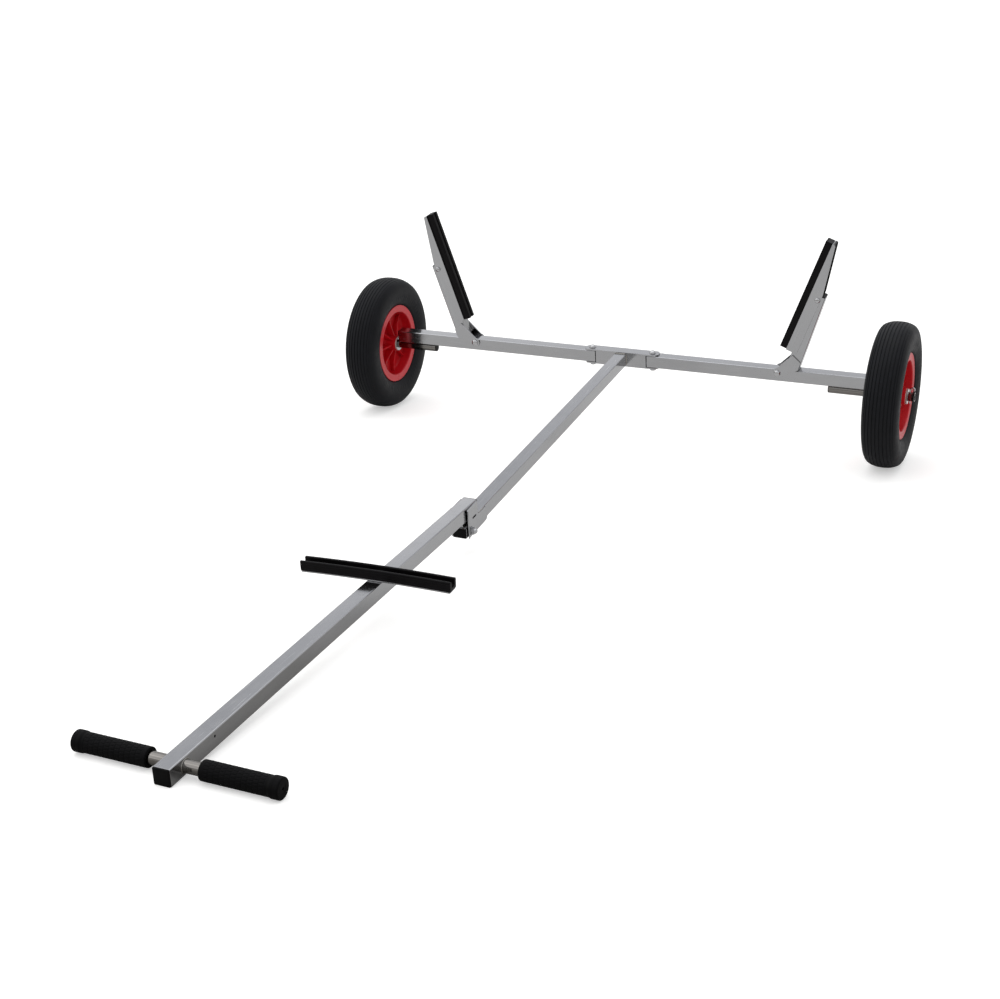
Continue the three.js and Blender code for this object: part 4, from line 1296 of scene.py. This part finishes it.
def support_post(side, sign, tilt):
    """Square post between two bracket plates that swing on the beam."""
    place, body = POST[side], "support_" + side
    top = box_in("support_post_" + side, place).high[2]
    x0, x1 = sorted((sign * POST_NEAR, sign * POST_FAR))
    post = square_tube("z", (x0, -POST_HALF, POST_FOOT), (x1, POST_HALF, top))
    post = minus(post, drill("y", 30, tilt, SMALL_HOLE, 32))
    # Plate outline in x, z: an arc round the pivot, then corners up to the post
    angles = [math.radians(118 + i * 195 / 24) for i in range(25)]
    arc = [(sign * 14 * math.cos(a), 14 * math.sin(a)) for a in angles]
    corners = [arc[-1], (sign * 50.5, 30), (sign * 50.5, 54), (sign * 22.5, 67), arc[0]]
    corners = round_poly(corners, [0, 3.5, 3.0, 2.5, 0], closed=False)
    outline = arc + corners[1:-1]
    parts, beads = [post], []
    for way in (-1, 1):
        start, end = sorted((way * 17.75, way * 21.7))
        plate = minus(prism(outline, start, end, "y"), drill("y", 30))
        parts.append(bevel(plate, 0.5, angle=50))
        seam = [(sign * x, way * 17.9, z)
                for x, z in ((49.2, 33), (49.8, 52.5), (24, 65.2), (19.0, 54))]
        beads.append(weld(seam, 1.5, 1.8, seed=51 + way))
    piece("hull_support_post_" + side, join(*parts), place, body, STEEL["z"],
          "support_post_" + side)
    piece("support_bracket_weld_" + side, join(*beads), place, body, BEAD)

    (x0, _, z0), (x1, _, z1) = box_in("post_plug_" + side, place)
    cap_box = Box((x0, -17.2, z0), (x1, 17.2, z1))
    piece("support_post_cap_" + side, end_plug("z", cap_box, top, 1, insert=5), place, body,
          PLUG, "post_plug_" + side)


def post_fasteners(side, tilt):
    """Pivot bolt and nut of the post, and the rivet on which the pad carrier tilts."""
    place, body = POST[side], "beam_" + side
    bolt_box = box_in("support_pivot_bolt_" + side, place)
    seat = -22.0
    head = dome_head("y", 9.4, seat + 0.02, seat - bolt_box.low[1], -1)
    shaft = union(rod("y", BOLT, seat - 1, 25), thread("y", BOLT, 24, bolt_box.high[1]))
    piece("support_pivot_dome_bolt_" + side,
          join(head, washer("y", HEAD_WASHER, seat - 0.5, seat + 0.25), shaft), place, body,
          BRIGHT, "support_pivot_bolt_" + side)
    start, end = (corner[1] for corner in box_in("support_pivot_nut_" + side, place))
    nut = join(hex_nut("y", start + 1.0, end),
               washer("y", HEAD_WASHER, start - 0.2, start + 0.95))
    piece("support_pivot_hex_nut_" + side, nut, place, body, BRIGHT,
          "support_pivot_nut_" + side)

    seat = 20.2
    height = -seat - box_in("tilt_rivet_" + side, place).low[1]
    heads = [dome_head("y", 7.5, way * seat, height, way, tilt, 40) for way in (-1, 1)]
    rivet = join(drill("y", seat + 1, tilt, SMALL_BOLT, 28), *heads)
    piece("pad_tilt_rivet_" + side, rivet, place, "support_" + side, BRIGHT,
          "tilt_rivet_" + side)


def pad_carrier(side, sign):
    """Bent sheet channel that carries the pad and is open towards the post."""
    low, high = box_in("pad_channel_" + side, CARRIER[side])
    bottom, top = low[2], high[2]
    back, inside = -24.5, -22.5     # the two faces of the channel's web

    def long_edges(x):
        return lambda e: (all(abs(v.co[0] - x) < 0.3 for v in e.verts)
                          and abs(e.verts[0].co[2] - e.verts[1].co[2]) > 200)

    # x, z, corner radius
    table = [(back, bottom, 0.8), (7.5, bottom, 5), (7.5, bottom + 188, 14), (-15.0, top - 3, 2),
             (-18.0, top, 2), (back, top, 0.8)]
    outline = round_poly([(sign * x, z) for x, z, _ in table], [r for *_, r in table], 5)
    outer = bevel(prism(outline, low[1], high[1], "y"), 2.6, 4, angle=60,
                  pick=long_edges(sign * back))
    x0, x1 = sorted((sign * inside, sign * 45.5))
    inner = bevel(box((x0, low[1] + 2, bottom - 5), (x1, high[1] - 2, top + 5)), 0.9, 3,
                  angle=60, pick=long_edges(sign * inside))
    channel = minus(outer, inner, drill("y", 40, radius=SMALL_HOLE, segments=32))
    piece("pad_carrier_channel_" + side, bevel(channel, 0.35, angle=62), CARRIER[side],
          "pad_" + side, STEEL["z"], "pad_channel_" + side)


def hull_pad(side, sign):
    """Extruded rubber pad with a groove down its face and fine lines."""
    bottom, top = (corner[2] for corner in box_in("pad_rubber_" + side, CARRIER[side]))
    face, back, half = -44.0, -24.8, 16.0
    # Half section from the back to the groove: x, y, corner radius
    table = [(back, half, 0.6), (face + 5.2, half, 0.2), (face + 4.6, half - 0.5, 0.2),
             (face + 4.0, half, 0.2), (face, half, 2.4), (face, 10.6, 0.2),
             (face + 0.7, 10.2, 0.2), (face, 9.8, 0.2), (face, 4.8, 1.6),
             (face + 4.4, 3.4, 1.2)]
    table += [(x, -y, r) for x, y, r in table[::-1]]
    # The outline starts at the back's -y corner
    table = table[-1:] + table[:-1]
    section = round_poly([(x, y) for x, y, _ in table], [r for *_, r in table], 4)
    section = [(sign * x, y) for x, y in section]
    ends = ((0, -0.9), (0.35, -0.3), (1.0, 0.0))    # distance from the end, growth
    stations = [(bottom + inset, grow) for inset, grow in ends]
    stations += [(z, 0.0) for z in np.linspace(bottom + 12, top - 12, 26)]
    stations += [(top - inset, grow) for inset, grow in ends[::-1]]
    pad = loft([ring_at(section, z, "z", grow) for z, grow in stations])
    piece("hull_pad_rubber_" + side, pad, CARRIER[side], "pad_" + side, PAD,
          "pad_rubber_" + side, sharp=36)


for side, sign in SIDES:
    beam(side, sign)
    axle(side, sign)
    tyre(side)
    rim(side)
    inner_tube(side)
    hub_parts(side)
    spring_clip(side, sign)
    tilt_joint = joint_in("pad_tilt_" + side, POST[side]) / MM
    tilt = (tilt_joint[0], tilt_joint[2])
    support_post(side, sign, tilt)
    post_fasteners(side, tilt)
    pad_carrier(side, sign)
    hull_pad(side, sign)


# ---------------------------------------------------------------- stage, light and camera
def floor_material():
    """Pale floor, lifted for the camera and darker towards the front in reflections."""
    m = new_material("pale_floor")
    cloud = m.noise(scale=0.7, detail=2.0, rough=0.5)
    grain = m.noise(scale=60, detail=3.0, rough=0.6)
    m.set_surface({"Base Color": m.mix(m.remap(cloud), (0.775, 0.765, 0.735),
                                       (0.80, 0.79, 0.76)),
                   "Roughness": 0.85, "Specular IOR Level": 0.1})
    m.bump(grain, strength=0.02, distance=0.001)
    position = m.node("ShaderNodeNewGeometry").outputs["Position"]
    place = m.node("ShaderNodeSeparateXYZ", {0: position}).outputs
    near = m.remap(place["Y"], span=(AXLE.y - 1.78, AXLE.y - 1.28))
    shade = m.mix(near, (0.36, 0.35, 0.33), (0.70, 0.69, 0.67))
    ray = m.node("ShaderNodeLightPath").outputs
    reflected = m.node("ShaderNodeBsdfDiffuse", {"Color": shade}).outputs[0]
    plain = m.surface.outputs[0]
    unseen = m.node("ShaderNodeMixShader", {0: ray["Is Glossy Ray"], 1: plain, 2: reflected})
    glow = m.node("ShaderNodeEmission", {"Color": (1, 1, 1), "Strength": 0.42})
    seen = m.node("ShaderNodeAddShader", {0: plain, 1: glow.outputs[0]})
    mixed = m.node("ShaderNodeMixShader", {
        0: ray["Is Camera Ray"], 1: unseen.outputs[0], 2: seen.outputs[0]})
    m.feed(m.tree.nodes["Material Output"].inputs["Surface"], mixed.outputs[0])
    return m.owner


def studio_floor(half=160.0):
    material = floor_material()
    z = CAD_BOX[0].z
    mesh = bpy.data.meshes.new("studio_floor")
    mesh.from_pydata([(-half, -half, z), (half, -half, z), (half, half, z), (-half, half, z)],
                     [], [(0, 1, 2, 3)])
    mesh.materials.append(material)
    floor = bpy.data.objects.new("studio_floor", mesh)
    SCENE.collection.objects.link(floor)


# Sky seen in reflections, by the z of the direction: place on the ramp, colour
SKY = (
    (0.0, (0.47, 0.465, 0.455)), (0.12, (0.50, 0.50, 0.50)), (0.30, (0.50, 0.505, 0.52)),
    (0.38, (0.72, 0.725, 0.74)), (0.435, (0.92, 0.92, 0.94)), (0.475, (0.72, 0.73, 0.76)),
    (0.51, (0.56, 0.57, 0.60)), (0.56, (0.52, 0.53, 0.56)), (0.75, (0.62, 0.63, 0.66)),
    (1.0, (0.70, 0.71, 0.74)),
)


def studio_world():
    """Banded sky for the part, plain white for the camera."""
    world = bpy.data.worlds.new("studio")
    SCENE.world = world
    sky = Shader(world, "Background")
    direction = sky.node("ShaderNodeSeparateXYZ", {0: sky.coords["Generated"]}).outputs
    ramp = sky.node("ShaderNodeValToRGB", {0: direction["Z"]})
    elements = ramp.color_ramp.elements
    elements[0].color = (*SKY[0][1], 1)
    elements[1].color = (*SKY[-1][1], 1)
    for place, colour in SKY[1:-1]:
        elements.new(place).color = (*colour, 1)
    ray = sky.node("ShaderNodeLightPath").outputs
    colour = sky.mix(ray["Is Camera Ray"], ramp.outputs[0], (1, 1, 1))
    sky.set_surface({"Color": colour, "Strength": 1.35})


def sun(name, direction, strength, spread, colour):
    """Soft light from far away; direction points from the part to the light."""
    light = bpy.data.lights.new(name, "SUN")
    light.energy = strength
    light.angle = math.radians(spread)
    light.color = colour
    obj = bpy.data.objects.new(name, light)
    SCENE.collection.objects.link(obj)
    obj.rotation_euler = Vector(direction).to_track_quat("Z", "Y").to_euler()


def camera(offset, lens, turn, drop, roll):
    """Camera at offset from the axle's middle, looking rearward; angles in degrees."""
    data = bpy.data.cameras.new("camera")
    obj = bpy.data.objects.new("camera", data)
    SCENE.collection.objects.link(obj)
    SCENE.camera = obj
    data.sensor_width = 36.0
    data.sensor_fit = "HORIZONTAL"
    data.lens = lens
    data.clip_start, data.clip_end = 0.05, 200
    turn, drop, roll = (math.radians(angle) for angle in (turn, drop, roll))
    view = Vector((-math.sin(turn) * math.cos(drop), math.cos(turn) * math.cos(drop),
                   -math.sin(drop)))
    obj.rotation_mode = "QUATERNION"
    obj.rotation_quaternion = (view.to_track_quat("-Z", "Y")
                               @ Matrix.Rotation(-roll, 3, "Z").to_quaternion())
    obj.location = AXLE + Vector(offset)


studio_floor()
studio_world()
sun("sky_soft_top", direction=(-0.25, 0.15, 1.0), strength=0.75, spread=70,
    colour=(1.0, 1.0, 1.0))
sun("sky_soft_left", direction=(-1.0, -0.55, 0.75), strength=0.35, spread=50,
    colour=(1.0, 0.99, 0.97))
camera(offset=(1.4510, -4.1392, 1.1001), lens=55.378, turn=24.016, drop=19.053, roll=0.079)

SCENE.view_settings.view_transform = "Standard"
SCENE.view_settings.look = "None"
SCENE.view_settings.exposure = 0.0
SCENE.view_settings.gamma = 1.0

# Every CAD node that still shows carries a worked material, never a plain one
for node in NODES.values():
    if not node.hide_render:
        node.data.materials.clear()
        node.data.materials.append(SHEET[0])
